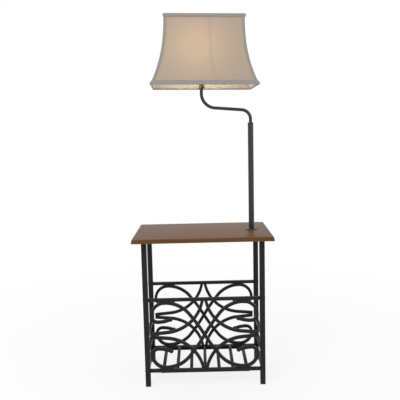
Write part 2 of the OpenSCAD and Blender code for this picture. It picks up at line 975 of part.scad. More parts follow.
// Two bowed wires with ferrules at the feet and a pad and stud on top
module harp() {
    color([0.75, 0.62, 0.35])
    on_head()
        rotate([0, 0, 90 + harp_turn]) {
            for (side = [0, 180])
                rotate([0, 0, side]) {
                    at_ear()
                        difference() {
                            cylinder(r = ferrule_r, h = ferrule_len + 2);
                            translate([0, 0, -1])
                                cylinder(r = ear_pin_r + running, h = ferrule_len);
                        }
                    harp_side();
                }
            translate([0, 0, seat_h - pad_t])
                cylinder(r = pad_r, h = pad_t);
            translate([0, 0, seat_h - eps])
                cylinder(r = stud_r, h = stud_len);
        }
}

// Turned knob that holds the shade down, screwed on the harp's stud
module finial() {
    color([0.75, 0.62, 0.35])
    on_head()
        translate([0, 0, seat_h + washer_t + 2 * seat_gap])
            difference() {
                union() {
                    cylinder(r = finial_foot_r, h = finial_foot_h);
                    translate([0, 0, finial_h - finial_r])
                        sphere(r = finial_r);
                    cylinder(r = finial_foot_r / 2 + 1, h = finial_h - finial_r);
                }
                translate([0, 0, -1])
                    cylinder(r = stud_r + running, h = stud_len - washer_t + 1);
            }
}

// ---------------------------------------------------------------- shade

// Places a drawing on the shade's seat, with z = 0 at the underside of its washer
module on_shade() {
    translate([seat_x, pole_y, seat_z])
        rotate([0, shade_lean, 0])
            rotate([0, 0, shade_turn])
                children();
}

// Silhouette of the shade, grown by grow on each side
module flared_profile(low, high, grow) {
    points = [for (i = [0 : flare_steps])
        let (t = i / flare_steps)
        [flared(low, high, t) + grow, shade_foot + t * shade_h]];
    polygon(concat(points, [for (i = [flare_steps : -1 : 0]) [-points[i][0], points[i][1]]]));
}

// Bands that reach far out in depth, or far out in width
module across_width(grow) {
    rotate([90, 0, 0])
        linear_extrude(2 * shade_d_low, center = true)
            flared_profile(shade_w_low, shade_w_high, grow);
}

module across_depth(grow) {
    rotate([90, 0, 90])
        linear_extrude(2 * shade_w_low, center = true)
            flared_profile(shade_d_low, shade_d_high, grow);
}

// Solid bell of rectangular plan with mitred corners
module bell(grow) {
    intersection() {
        across_width(grow);
        across_depth(grow);
    }
}

module slab(from, to) {
    translate([-shade_w_low, -shade_w_low, from])
        cube([2 * shade_w_low, 2 * shade_w_low, to - from]);
}

// Keeps what lies on one side of the shade's middle: [1, 0] keeps +X, [0, -1] keeps -Y
module half_space(way) {
    reach = 2 * shade_w_low;
    translate([way[0] * reach / 2, way[1] * reach / 2, shade_foot + shade_h / 2])
        cube(reach, center = true);
}

// Front or rear fabric panel, over the shade's full width
module shade_long_panel(end) {
    color([0.74, 0.66, 0.57])
    on_shade()
        intersection() {
            difference() {
                bell(0);
                across_depth(-cover_t);
            }
            half_space([0, end]);
        }
}

// Left or right fabric panel, between the two long ones
module shade_short_panel(side) {
    color([0.74, 0.66, 0.57])
    on_shade()
        intersection() {
            across_depth(-cover_t);
            difference() {
                across_width(0);
                across_width(-cover_t);
            }
            half_space([side, 0]);
        }
}

module shade_lining() {
    color([0.93, 0.9, 0.82])
    on_shade()
        difference() {
            bell(-cover_t);
            bell(-cover_t - lining_t);
        }
}

// Braid around the shade between two heights
module trim_band(from, to) {
    color([0.6, 0.56, 0.52])
    on_shade()
        intersection() {
            difference() {
                bell(trim_t);
                bell(0);
            }
            slab(from, to);
        }
}

module shade_trim_corners() {
    color([0.6, 0.56, 0.52])
    on_shade()
        intersection() {
            difference() {
                bell(trim_t);
                bell(0);
                across_width(-trim_corner);
                across_depth(-trim_corner);
            }
            slab(shade_foot + trim_low, shade_top - trim_high);
        }
}

// One flat arm of the spider along +X, run on past the top ring that it meets
module spider_arm(reach) {
    top = shade_top - (wire_w + spider_t) / 2;
    knee = spider_knee * reach;
    outline = [[washer_r - 2, 0], [knee, 0], [reach - spider_w, top], [reach + spider_w, top]];
    rotate([90, 0, 0])
        linear_extrude(spider_w, center = true)
            polygon(concat(outline, [for (i = [3 : -1 : 0]) outline[i] + [0, spider_t]]));
}

// Washer on the harp, with four flat arms that run out and up to the top ring
module shade_spider() {
    color([0.8, 0.78, 0.72])
    on_shade()
        intersection() {
            union() {
                ring(washer_r, washer_bore, washer_t);
                for (quarter = [0 : 3])
                    rotate([0, 0, 90 * quarter])
                        spider_arm(quarter % 2 == 0 ? shade_w_high / 2 : shade_d_high / 2);
            }
            bell(-frame_in - wire_w);
        }
}

// Top and bottom rings of square wire, joined by a rib in each corner
module shade_frame() {
    color([0.8, 0.78, 0.72])
    on_shade()
        difference() {
            bell(-frame_in);
            bell(-frame_in - wire_w);
            intersection() {
                slab(shade_foot + wire_w, shade_top - wire_w);
                union() {
                    across_width(-frame_in - wire_w);
                    across_depth(-frame_in - wire_w);
                }
            }
        }
}

table_top();
leg(-1, -1);  // leg_front_left
leg(1, -1);  // leg_front_right
leg(-1, 1);  // leg_rear_left
leg(1, 1);  // leg_rear_right
foot_plugs();
top_rails();
side_rails(-1);  // side_rails_left
side_rails(1);  // side_rails_right
bar(-1, rack_low);  // bar_front_low
bar(-1, rack_high);  // bar_front_high
bar(1, rack_low);  // bar_rear_low
bar(1, rack_high);  // bar_rear_high
bar_inserts();
frame_bolts();
scroll_a(-1);  // scroll_front_a
scroll_b(-1);  // scroll_front_b
scroll_a(1);  // scroll_rear_a
scroll_b(1);  // scroll_rear_b
curves(-1, 0);  // curves_front_high
curves(-1, 1);  // curves_front_low
curves(1, 0);  // curves_rear_high
curves(1, 1);  // curves_rear_low
floor_bar(1);  // floor_bar_1
floor_bar(2);  // floor_bar_2
floor_bar(3);  // floor_bar_3
floor_bar(4);  // floor_bar_4
floor_bar(5);  // floor_bar_5
floor_bar(6);  // floor_bar_6
floor_bar(7);  // floor_bar_7
floor_strips();
rack_screws();
table_screws();
pole_flange();
pole_tube();
pole_nipple();
pole_lock();
cord_bushing();
pole_cap();
arm_tube();
swivel_pin();
harp_saddle();
socket_cap();
socket_shell();
socket_core();
switch_knob();
bulb_base();
bulb_glass();
harp();
finial();
shade_spider();
shade_frame();
shade_long_panel(-1);  // shade_front
shade_long_panel(1);  // shade_rear
shade_short_panel(-1);  // shade_left
shade_short_panel(1);  // shade_right
shade_lining();
trim_band(shade_top - trim_high, shade_top);  // shade_trim_top
trim_band(shade_foot, shade_foot + trim_low);  // shade_trim_foot
shade_trim_corners();
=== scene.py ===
# %% [markdown]
# # A floor lamp with a side table and a magazine rack
# The lamp is a narrow table on four square legs. A pole rises from the table's right end,
# a bent arm swivels on it, and a flared rectangular shade hangs over the middle. The
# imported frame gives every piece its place, so this notebook only makes the looks.

# %% Load the frame
import math

import bpy
from mathutils import Matrix, Vector


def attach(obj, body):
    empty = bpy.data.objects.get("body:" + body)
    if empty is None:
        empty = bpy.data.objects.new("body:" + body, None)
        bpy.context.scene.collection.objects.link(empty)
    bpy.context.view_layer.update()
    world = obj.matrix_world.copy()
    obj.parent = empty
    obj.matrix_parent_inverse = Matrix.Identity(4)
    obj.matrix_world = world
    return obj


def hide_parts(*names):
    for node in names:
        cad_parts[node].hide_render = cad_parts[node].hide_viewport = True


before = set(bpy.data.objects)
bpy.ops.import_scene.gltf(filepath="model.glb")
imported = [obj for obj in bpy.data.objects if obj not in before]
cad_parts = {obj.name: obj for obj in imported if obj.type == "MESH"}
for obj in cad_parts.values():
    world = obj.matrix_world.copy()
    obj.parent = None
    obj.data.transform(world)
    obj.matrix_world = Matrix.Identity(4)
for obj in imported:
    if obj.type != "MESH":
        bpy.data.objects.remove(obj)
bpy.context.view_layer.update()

# %% [markdown]
# ## Camera
# The lamp is seen from standing height, a little over two metres away and almost straight
# on. A camera is easiest to aim with its three axes: it looks along minus Z, so its third
# column is the look direction turned round. A very small roll follows the leaning view.

# %% Camera
yaw, pitch, roll = 0.0021, 0.1245, -0.0217
look = Vector((math.sin(yaw) * math.cos(pitch), math.cos(yaw) * math.cos(pitch), -math.sin(pitch)))
level = Vector((math.cos(yaw), -math.sin(yaw), 0))
upward = level.cross(look)
right = level * math.cos(roll) + upward * math.sin(roll)
top = upward * math.cos(roll) - level * math.sin(roll)
bpy.ops.object.camera_add(location=(-0.01128, -2.1301, 0.9944))
camera = bpy.context.object
camera.rotation_euler = Matrix((right, top, -look)).transposed().to_euler()
camera.data.sensor_width = 36
camera.data.lens = 36 * 531.8 / 400
bpy.context.scene.camera = camera
print("lens", round(camera.data.lens, 2), "mm")

# %% [markdown]
# ## Working by hand, in code
# An operator acts on everything that is selected, so each step first clears the selection.
# Faces and edges are then picked by where they are. These few helpers do that, and give a
# finished piece its material and the body that it rides on, and hide the solids it stands for.

# %% Small helpers
mm = 0.001


def mode(name):
    bpy.ops.object.mode_set(mode=name)


def edit_all():
    """Goes to edit mode with the whole mesh selected."""
    mode("EDIT")
    bpy.ops.mesh.select_all(action="SELECT")


def clear():
    if bpy.context.mode != "OBJECT":
        mode("OBJECT")
    bpy.ops.object.select_all(action="DESELECT")


def use(*pieces):
    clear()
    for piece in pieces:
        piece.select_set(True)
    bpy.context.view_layer.objects.active = pieces[0]
    return pieces[0]


def pick(piece, kind, test):
    """Selects in edit mode the vertices, edges or faces for which test says so."""
    use(piece)
    mode("EDIT")
    bpy.ops.mesh.select_mode(type={"vertices": "VERT", "edges": "EDGE", "polygons": "FACE"}[kind])
    bpy.ops.mesh.select_all(action="DESELECT")
    mode("OBJECT")
    for part in getattr(piece.data, kind):
        part.select = bool(test(part))
    mode("EDIT")


def ends_of(piece, edge):
    a, b = edge.vertices
    return piece.data.vertices[a].co, piece.data.vertices[b].co


def apply_modifiers(piece):
    use(piece)
    for modifier in list(piece.modifiers):
        bpy.ops.object.modifier_apply(modifier=modifier.name)


def settle(piece):
    """Writes the object's place, turn and size into its mesh."""
    use(piece)
    bpy.ops.object.transform_apply(location=True, rotation=True, scale=True)


def put(piece, matrix):
    """Moves and turns a piece by a matrix, and writes that into its mesh."""
    piece.matrix_world = matrix
    settle(piece)


def extrude(move):
    bpy.ops.mesh.extrude_region_move(TRANSFORM_OT_translate={"value": move})


def sind(degrees):
    return math.sin(math.radians(degrees))


def cosd(degrees):
    return math.cos(math.radians(degrees))


def turn_by(degrees, axis="Y"):
    return Matrix.Rotation(math.radians(degrees), 4, axis)


def tidy_mesh(piece):
    """Merges doubles, turns all faces outwards and smooths all but the sharp edges."""
    use(piece)
    edit_all()
    bpy.ops.mesh.remove_doubles(threshold=0.00002)
    bpy.ops.mesh.normals_make_consistent(inside=False)
    mode("OBJECT")
    bpy.ops.object.shade_smooth_by_angle(angle=math.radians(32))


def join(name, pieces):
    use(*pieces)
    if len(pieces) > 1:
        bpy.ops.object.join()
    bpy.context.object.name = name
    return bpy.context.object


def copy_of(piece, name, matrix):
    """A copy with its own mesh, moved, turned or mirrored by the matrix."""
    use(piece)
    bpy.ops.object.duplicate()
    twin = bpy.context.object
    twin.name = name
    put(twin, matrix @ twin.matrix_world)
    tidy_mesh(twin)
    return twin


def dress(piece, material, body, slot, *nodes):
    """Gives a finished piece its material and its place in the frame."""
    piece.data.materials.clear()
    piece.data.materials.append(material)
    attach(piece, body)
    if nodes:
        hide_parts(*nodes)
    return piece


# %% [markdown]
# ## Effects that several finishes share
# A node group is a small machine with named inputs and outputs. Drift gives slow, cloudy
# variation, which keeps large surfaces from looking flat. Weave draws the threads of a
# plain cloth, over and under in both directions, with thicker and thinner threads.

# %% Drift and weave groups


def new_group(name, outputs, **inputs):
    """A group with a Vector input, number inputs with their usual values, number outputs."""
    group = bpy.data.node_groups.new(name, "ShaderNodeTree")
    add = group.interface.new_socket
    add("Vector", in_out="INPUT", socket_type="NodeSocketVector")
    for label, value in inputs.items():
        add(label, in_out="INPUT", socket_type="NodeSocketFloat").default_value = value
    for label in outputs:
        add(label, in_out="OUTPUT", socket_type="NodeSocketFloat")
    start = group.nodes.new("NodeGroupInput")
    end = group.nodes.new("NodeGroupOutput")
    return group, start.outputs, end.inputs


def feed(tree, socket, value):
    """Links what comes from another node, or writes a plain value."""
    if isinstance(value, bpy.types.NodeSocket):
        tree.links.new(value, socket)
    else:
        socket.default_value = value


def feed_all(tree, node, **values):
    """Feeds inputs by name. An underscore stands for a space."""
    for label, value in values.items():
        feed(tree, node.inputs[label.replace("_", " ")], value)
    return node


def add_node(tree, kind, **values):
    return feed_all(tree, tree.nodes.new("ShaderNode" + kind), **values)


def maths(tree, operation, *values, kind="Math"):
    node = add_node(tree, kind)
    node.operation = operation
    for socket, value in zip(node.inputs, values):
        feed(tree, socket, value)
    return node.outputs[0] if kind == "Math" else node.outputs


def mix_colour(tree, fac, a, b):
    node = tree.nodes.new("ShaderNodeMix")
    node.data_type = "RGBA"
    for index, value in ((0, fac), (6, a), (7, b)):
        feed(tree, node.inputs[index], (*value, 1) if isinstance(value, tuple) else value)
    return node.outputs[2]


def noise(tree, vector, scale, detail=3.0, roughness=0.5):
    return add_node(tree, "TexNoise", Vector=vector, Scale=scale, Detail=detail,
                    Roughness=roughness).outputs["Fac"]


drift, given, gives = new_group("drift", ["Mask"], Scale=20.0, Contrast=1.0)
cloud = noise(drift, given["Vector"], given["Scale"], 4.0)
spread = maths(drift, "MULTIPLY", maths(drift, "SUBTRACT", cloud, 0.5), given["Contrast"])
drift.links.new(maths(drift, "ADD", spread, 0.5), gives["Mask"])

weave, given, gives = new_group("weave", ["Height", "Mask"], Thread=0.0006, Slub=0.3)
parts = add_node(weave, "SeparateXYZ", Vector=given["Vector"])
turns = [maths(weave, "DIVIDE", maths(weave, "MULTIPLY", parts.outputs[i], math.pi),
               given["Thread"]) for i in (0, 1)]
warp = maths(weave, "ABSOLUTE", maths(weave, "SINE", turns[0]))
weft = maths(weave, "ABSOLUTE", maths(weave, "SINE", turns[1]))
cell = maths(weave, "MULTIPLY", maths(weave, "COSINE", turns[0]), maths(weave, "COSINE", turns[1]))
over = maths(weave, "GREATER_THAN", cell, 0.0)
thread = maths(weave, "ADD", maths(weave, "MULTIPLY", warp, over),
               maths(weave, "MULTIPLY", weft, maths(weave, "SUBTRACT", 1.0, over)))
stretch = add_node(weave, "Mapping", Vector=given["Vector"], Scale=(25, 900, 1))
slubs = noise(weave, stretch.outputs[0], 1.0, 2.0)
weave.links.new(thread, gives["Height"])
weave.links.new(maths(weave, "ADD", maths(weave, "MULTIPLY", thread, 0.35),
                      maths(weave, "MULTIPLY", slubs, given["Slub"])), gives["Mask"])
print("groups:", [g.name for g in bpy.data.node_groups])

# %% [markdown]
# ## Finishes
# Every finish is one Principled BSDF. What changes over the surface comes from nodes: a
# mask mixes two close colours, and the same mask or a finer one drives roughness and bump.

# %% Start a finish


def new_finish(name, metallic=0.0, **plain):
    """A material with its tree, its shader and the piece's own coordinates."""
    material = bpy.data.materials.new(name)
    material.use_nodes = True
    tree = material.node_tree
    shader = tree.nodes["Principled BSDF"]
    feed_all(tree, shader, Metallic=metallic, **plain)
    place = tree.nodes.new("ShaderNodeTexCoord")
    return material, tree, shader, place.outputs


def grouped(tree, group, vector, **values):
    node = tree.nodes.new("ShaderNodeGroup")
    node.node_tree = group
    return feed_all(tree, node, Vector=vector, **values).outputs


def bumped(tree, shader, height, distance, strength=1.0):
    bump = add_node(tree, "Bump", Height=height, Distance=distance, Strength=strength)
    feed_all(tree, shader, Normal=bump.outputs["Normal"])


def ranged(tree, value, low, high):
    return add_node(tree, "MapRange", Value=value, To_Min=low, To_Max=high).outputs[0]


def mottled(name, dark, pale, drifts, rough, bump=None, **plain):
    """A finish whose colour and roughness follow one drift mask, which can raise a bump."""
    material, tree, shader, place = new_finish(name, **plain)
    marks = grouped(tree, drift, place["Object"], Scale=drifts[0], Contrast=drifts[1])["Mask"]
    feed_all(tree, shader, Base_Color=mix_colour(tree, marks, dark, pale),
             Roughness=ranged(tree, marks, *rough))
    if bump:
        bumped(tree, shader, marks, *bump)
    return material


# %% [markdown]
# The frame, the pole and the arm are painted a charcoal black with a satin sheen. Powder
# paint has a fine orange peel, so the bump is a soft noise about a millimetre wide. The
# specular level is low, because such paint is full of matting powder.

# %% Charcoal paint


def paint(name, dark, pale, roughness, gloss=0.5):
    material = mottled(name, dark, pale, (35.0, 1.6), (roughness - 0.06, roughness + 0.06),
                       IOR=1.5, Specular_IOR_Level=gloss)
    tree = material.node_tree
    place = tree.nodes["Texture Coordinate"].outputs["Object"]
    bumped(tree, tree.nodes["Principled BSDF"], noise(tree, place, 900.0, 2.0), 0.00012, 0.6)
    return material


frame_paint = paint("charcoal_paint", (0.0065, 0.0075, 0.0095), (0.0115, 0.0125, 0.0150), 0.42, 0.2)
# The pole and the arm share the frame's paint, but get a lighter, glossier copy of it: painted
# light, for the brighter light that falls on them.
lit_pole_paint = paint("lit_pole_paint", (0.016, 0.018, 0.024), (0.026, 0.028, 0.035), 0.36, 0.36)

# %% [markdown]
# The table top is veneered board under a satin brown lacquer. Wood grain is noise that is
# stretched along the board, and a second, finer noise gives the pores. The lacquer is the
# shader's coat, which is what mirrors the pole at a flat angle.

# %% Lacquered wood
wood, tree, shader, place = new_finish("lacquered_wood", IOR=1.5, Specular_IOR_Level=0.16,
                                       Coat_Weight=0.02, Coat_Roughness=0.2)
along = add_node(tree, "Mapping", Vector=place["Object"], Scale=(3.0, 46.0, 46.0))
figure = noise(tree, along.outputs[0], 1.0, 5.0, 0.6)
pores_map = add_node(tree, "Mapping", Vector=place["Object"], Scale=(40.0, 900.0, 900.0))
pores = noise(tree, pores_map.outputs[0], 1.0, 2.0)
ramp = tree.nodes.new("ShaderNodeValToRGB")
ramp.color_ramp.elements[0].position = 0.3
ramp.color_ramp.elements[0].color = (0.096, 0.041, 0.0085, 1)
ramp.color_ramp.elements[1].position = 0.7
ramp.color_ramp.elements[1].color = (0.176, 0.077, 0.018, 1)
tree.links.new(figure, ramp.inputs["Fac"])
tree.links.new(mix_colour(tree, ranged(tree, pores, 0.0, 0.35), ramp.outputs["Color"],
                          (0.040, 0.011, 0.004)), shader.inputs["Base Color"])
tree.links.new(ranged(tree, figure, 0.38, 0.50), shader.inputs["Roughness"])
bumped(tree, shader, pores, 0.00008, 0.5)

# %% [markdown]
# The shade is a stiffened silky cloth with a bulb behind it. The light through the cloth is
# painted on as emission: it falls off with the distance from the bulb, and the same mask makes
# the warm centre. The harp's wire stands between bulb and cloth, so a painted shadow, a soft
# dark line, shows where the wire's plane cuts the cloth: there the distance from that plane is
# zero. The line strays a little below the bulb, because the filament isn't quite in that plane.

# %% Painted glow and shadow group
bulb_centre = Vector((0.0142, 0.009, 1.288))
HARP_TURN = 108

glow, given, gives = new_group("glow", ["Mask"], Near=0.1, Fall=1.8, Shadow=0.3)


def vector_maths(tree, operation, *values):
    return maths(tree, operation, *values, kind="VectorMath")


brightest = bulb_centre + Vector((-0.024, 0, 0.026))
away = vector_maths(glow, "DISTANCE", given["Vector"], brightest)["Value"]
fall = maths(glow, "POWER", maths(glow, "DIVIDE", given["Near"], away), given["Fall"])
fall = maths(glow, "MINIMUM", fall, 1.15)
from_bulb = vector_maths(glow, "SUBTRACT", given["Vector"], bulb_centre)["Vector"]
level_way = vector_maths(glow, "MULTIPLY", from_bulb, (1, 1, 0))["Vector"]
normal = (sind(HARP_TURN), -cosd(HARP_TURN), 0)
below = add_node(glow, "SeparateXYZ", Vector=from_bulb)
drop = maths(glow, "MINIMUM", below.outputs["Z"], 0.0)
strayed = maths(glow, "MULTIPLY", maths(glow, "MULTIPLY", drop, drop), 1.5)
off_plane = vector_maths(glow, "DOT_PRODUCT", level_way, normal)["Value"]
off_plane = maths(glow, "ABSOLUTE", maths(glow, "SUBTRACT", off_plane, strayed))
spread = maths(glow, "DIVIDE", off_plane, vector_maths(glow, "LENGTH", level_way)["Value"])
line = add_node(glow, "MapRange", Value=spread, From_Max=0.12, To_Min=1.0, To_Max=0.0)
line.interpolation_type = "SMOOTHSTEP"
shaded = maths(glow, "SUBTRACT", 1.0, maths(glow, "MULTIPLY", line.outputs[0], given["Shadow"]))
glow.links.new(maths(glow, "MULTIPLY", fall, shaded), gives["Mask"])

# %% Shade cloth


def cloth(name, dark, pale, thread, roughness, strength, glow_colour, near=0.1, shadow=0.3,
          sheen=0.15):
    material, tree, shader, place = new_finish(name, Sheen_Weight=sheen, Sheen_Roughness=0.5)
    threads = grouped(tree, weave, place["UV"], Thread=thread, Slub=0.5)
    feed_all(tree, shader, Base_Color=mix_colour(tree, threads["Mask"], dark, pale),
             Roughness=ranged(tree, threads["Mask"], roughness, roughness + 0.15))
    bumped(tree, shader, threads["Height"], 0.00010, 0.5)
    # The emission paints the bulb's light and the harp's shadow on the cloth; the lining and the
    # ribbon get a fainter painted glow.
    lit = grouped(tree, glow, place["Object"], Near=near, Shadow=shadow)["Mask"]
    uneven = maths(tree, "MULTIPLY", lit, ranged(tree, threads["Mask"], 0.9, 1.1))
    feed_all(tree, shader, Emission_Strength=strength,
             Emission_Color=mix_colour(tree, uneven, (0.0, 0.0, 0.0), glow_colour))
    return material


shade_cloth = cloth("shade_cloth", (0.298, 0.240, 0.193), (0.366, 0.300, 0.243), 0.0007, 0.62,
                    0.25, (1.0, 0.62, 0.27), near=0.105)
lining_cloth = cloth("lining_cloth", (0.48, 0.43, 0.37), (0.56, 0.50, 0.43), 0.0006, 0.7,
                     0.06, (1.0, 0.72, 0.46), shadow=0.1)
trim_braid = cloth("trim_braid", (0.22, 0.20, 0.185), (0.32, 0.295, 0.275), 0.0014, 0.7,
                   0.03, (1.0, 0.74, 0.42), shadow=0.0)
print("cloths made")

# %% [markdown]
# Small parts: aged brass for the harp, the socket and the finial, zinc on hidden screws
# and pipes, black plastic for plugs and the switch knob, and a frosted bulb that is on.

# %% Small-part finishes


def metal(name, dark, pale, roughness):
    return mottled(name, dark, pale, (220.0, 1.4), (roughness - 0.08, roughness + 0.1),
                   (0.00005, 0.4), metallic=1.0)


def plastic(name, dark, pale, roughness):
    return mottled(name, dark, pale, (400.0, 1.2), (roughness - 0.05, roughness + 0.08),
                   (0.00006, 0.4), IOR=1.46)


def dipped(material, height, soft=0.002, dark=(0.012, 0.011, 0.010)):
    """Turns the part of a metal finish below a height to the dark paint of the tube."""
    tree = material.node_tree
    shader = tree.nodes["Principled BSDF"]
    place = tree.nodes["Texture Coordinate"].outputs["Object"]
    parts = add_node(tree, "SeparateXYZ", Vector=place)
    above = add_node(tree, "MapRange", Value=parts.outputs["Z"], From_Min=height - soft,
                     From_Max=height + soft).outputs[0]
    colour = shader.inputs["Base Color"].links[0].from_socket
    feed_all(tree, shader, Base_Color=mix_colour(tree, above, dark, colour), Metallic=above)
    return material


brass = metal("aged_brass", (0.33, 0.22, 0.09), (0.48, 0.34, 0.15), 0.32)
zinc = metal("zinc_plate", (0.42, 0.42, 0.40), (0.58, 0.58, 0.56), 0.38)
tinned = metal("bulb_cap_metal", (0.55, 0.55, 0.53), (0.68, 0.68, 0.66), 0.3)
saddle_brass = dipped(metal("saddle_brass", (0.26, 0.18, 0.075), (0.40, 0.29, 0.13), 0.36), 1.181)
wire_paint = paint("cream_wire_paint", (0.52, 0.47, 0.38), (0.60, 0.55, 0.46), 0.45)
black_plastic = plastic("black_plastic", (0.012, 0.012, 0.012), (0.020, 0.020, 0.020), 0.5)
insulator = plastic("moulded_insulator", (0.010, 0.008, 0.007), (0.018, 0.014, 0.012), 0.3)

bulb_glass, tree, shader, place = new_finish("frosted_bulb", Roughness=0.35)
frost = grouped(tree, drift, place["Object"], Scale=60.0, Contrast=0.8)["Mask"]
feed_all(tree, shader, Emission_Strength=0.9,
         Base_Color=mix_colour(tree, frost, (0.80, 0.76, 0.68), (0.88, 0.85, 0.78)),
         Emission_Color=mix_colour(tree, frost, (1.0, 0.80, 0.52), (1.0, 0.85, 0.60)))

for node, finish in {
        "top_rails": frame_paint, "bar_inserts": zinc, "table_screws": zinc,
        "pole_nipple": zinc, "pole_lock": zinc, "swivel_pin": zinc,
        "cord_bushing": black_plastic, "harp_saddle": saddle_brass, "socket_core": insulator,
        "bulb_base": tinned, "shade_spider": wire_paint}.items():
    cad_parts[node].data.materials.clear()
    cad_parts[node].data.materials.append(finish)
print("finishes:", len(bpy.data.materials))

# %% [markdown]
# ## Square bars
# Legs, bars and rails are square steel tube, and a drawn tube has rounded corners that
# catch a line of light. A cube is stretched to size, and its four long edges are bevelled
# by the corner's radius. The end edges get a hair's breadth.

# %% Square bar helper
SOFT_END = 0.3 * mm


def block(centre, size, tilt=0):
    clear()
    bpy.ops.mesh.primitive_cube_add(size=1, location=centre)
    cube = bpy.context.object
    cube.scale = size
    cube.rotation_euler = (0, tilt, 0)
    settle(cube)
    return cube


def dress_frame(piece, node):
    return dress(piece, frame_paint, "table", "black_metal", node)


def square_bar(name, low, high, corner):
    """A bar that fills the box from low to high, rounded along its longest direction."""
    low, high = Vector(low), Vector(high)
    size = high - low
    axis = max(range(3), key=lambda i: size[i])
    bar = block((low + high) / 2, size)
    bar.name = name

    def along_axis(edge):
        a, b = ends_of(bar, edge)
        return abs((a - b)[axis]) > size[axis] / 2

    pick(bar, "edges", along_axis)
    bpy.ops.mesh.bevel(offset=corner, segments=4, affect="EDGES")
    pick(bar, "edges", lambda edge: abs(ends_of(bar, edge)[0][axis]
                                        - ends_of(bar, edge)[1][axis]) < 1e-6)
    bpy.ops.mesh.bevel(offset=SOFT_END, segments=2, affect="EDGES")
    tidy_mesh(bar)
    return bar


LEG_X, LEG_Y, LEG_HALF = 228 * mm, 116 * mm, 10 * mm
BAR_HALF = 6.35 * mm
LOW, HIGH = 63 * mm, 352 * mm
ENDS = (("front", -LEG_Y), ("rear", LEG_Y))
SIDES = (("left", -LEG_X), ("right", LEG_X))
LEG_FOOT, LEG_TOP = 4 * mm, 584 * mm
RAIL_STEP, SLAT_PITCH = 65 * mm, 55.2 * mm
LEG_CORNER, BAR_CORNER = 1.8 * mm, 1.4 * mm

# %% Legs with their plastic feet
for side, x in SIDES:
    for end, y in ENDS:
        leg = square_bar(f"leg_tube_{end}_{side}",
                         (x - LEG_HALF, y - LEG_HALF, LEG_FOOT),
                         (x + LEG_HALF, y + LEG_HALF, LEG_TOP), LEG_CORNER)
        dress_frame(leg, f"leg_{end}_{side}")

feet = []
for x in (-LEG_X, LEG_X):
    for y in (-LEG_Y, LEG_Y):
        foot = block((x, y, LEG_FOOT / 2), (2 * LEG_HALF, 2 * LEG_HALF, LEG_FOOT))
        pick(foot, "polygons", lambda face: face.normal.z > 0.9)
        bpy.ops.mesh.inset(thickness=1.7 * mm)
        extrude((0, 0, 13.9 * mm))
        pick(foot, "edges", lambda edge: max(p.z for p in ends_of(foot, edge)) < 4.1 * mm
             and max(abs(p.x - x) for p in ends_of(foot, edge)) > 9.9 * mm)
        bpy.ops.mesh.bevel(offset=1.0 * mm, segments=3, affect="EDGES")
        tidy_mesh(foot)
        feet.append(foot)
dress(join("foot_caps", feet), black_plastic, "table", "black_plastic", "foot_plugs")
print("legs and feet:", len(feet))

# %% Bars between the legs, side rails and the rack's floor
leg_face = LEG_X - LEG_HALF
for end, y in ENDS:
    for height, z in (("low", LOW), ("high", HIGH)):
        bar = square_bar(f"bar_tube_{end}_{height}",
                         (-leg_face, y - BAR_HALF, z - BAR_HALF),
                         (leg_face, y + BAR_HALF, z + BAR_HALF), BAR_CORNER)
        dress_frame(bar, f"bar_{end}_{height}")

inside = LEG_Y - LEG_HALF
for side, x in SIDES:
    rails = [square_bar("rail", (x - BAR_HALF, -inside, z - BAR_HALF),
                        (x + BAR_HALF, inside, z + BAR_HALF), BAR_CORNER)
             for z in (LOW, LOW + RAIL_STEP, LOW + 2 * RAIL_STEP)]
    dress_frame(join(f"rail_tubes_{side}", rails), f"side_rails_{side}")

reach = LEG_Y - BAR_HALF
for i in range(1, 8):
    x = (i - 4) * SLAT_PITCH
    slat = square_bar(f"slat_{i}", (x - BAR_HALF, -reach, LOW - BAR_HALF),
                      (x + BAR_HALF, reach, LOW + BAR_HALF), BAR_CORNER)
    dress_frame(slat, f"floor_bar_{i}")

STRIP_Z = LOW - BAR_HALF - 2 * mm
strips = []
for side in (-1, 1):
    near, far = sorted((side * 101 * mm, side * 121 * mm))
    strips.append(square_bar("strip", (-175 * mm, near, STRIP_Z),
                             (175 * mm, far, LOW - BAR_HALF), 0.4 * mm))
dress_frame(join("rack_strips", strips), "floor_strips")
print("bars, rails and slats made")

# %% [markdown]
# ## Turned parts
# Bolts, pole, flange, socket, bulb and finial are round. Each starts as a ring of points
# that is extruded up its profile: after every extrusion the new ring is scaled to the next
# radius. A radius of zero closes the ring to a point.

# %% Turning helper


def turned(name, profile, sides=64):
    """A round piece on the Z axis from a list of (radius, height), in millimetres."""
    r0, z0 = profile[0]
    radius = max(r0, 0.001) * mm
    clear()
    bpy.ops.mesh.primitive_circle_add(vertices=sides, radius=radius, fill_type="NOTHING",
                                      location=(0, 0, z0 * mm))
    piece = bpy.context.object
    piece.name = name
    settle(piece)
    edit_all()
    height = z0
    for r, z in profile[1:]:
        extrude((0, 0, (z - height) * mm))
        ratio = max(r, 0.001) * mm / radius
        bpy.ops.transform.resize(value=(ratio, ratio, 1), center_override=(0, 0, z * mm))
        radius, height = max(r, 0.001) * mm, z
    tidy_mesh(piece)
    return piece


def arc_points(cr, cz, radius, start, stop, steps):
    """Profile points on an arc, in degrees, for rounded shoulders and domes."""
    angles = [start + (stop - start) * i / steps for i in range(steps + 1)]
    return [(cr + radius * cosd(a), cz + radius * sind(a)) for a in angles]


def dome(r, h, steps=7):
    ball = (r * r + h * h) / (2 * h)
    edge = math.degrees(math.asin(r / ball))
    return arc_points(0, h - ball, ball, 90 - edge, 90, steps)


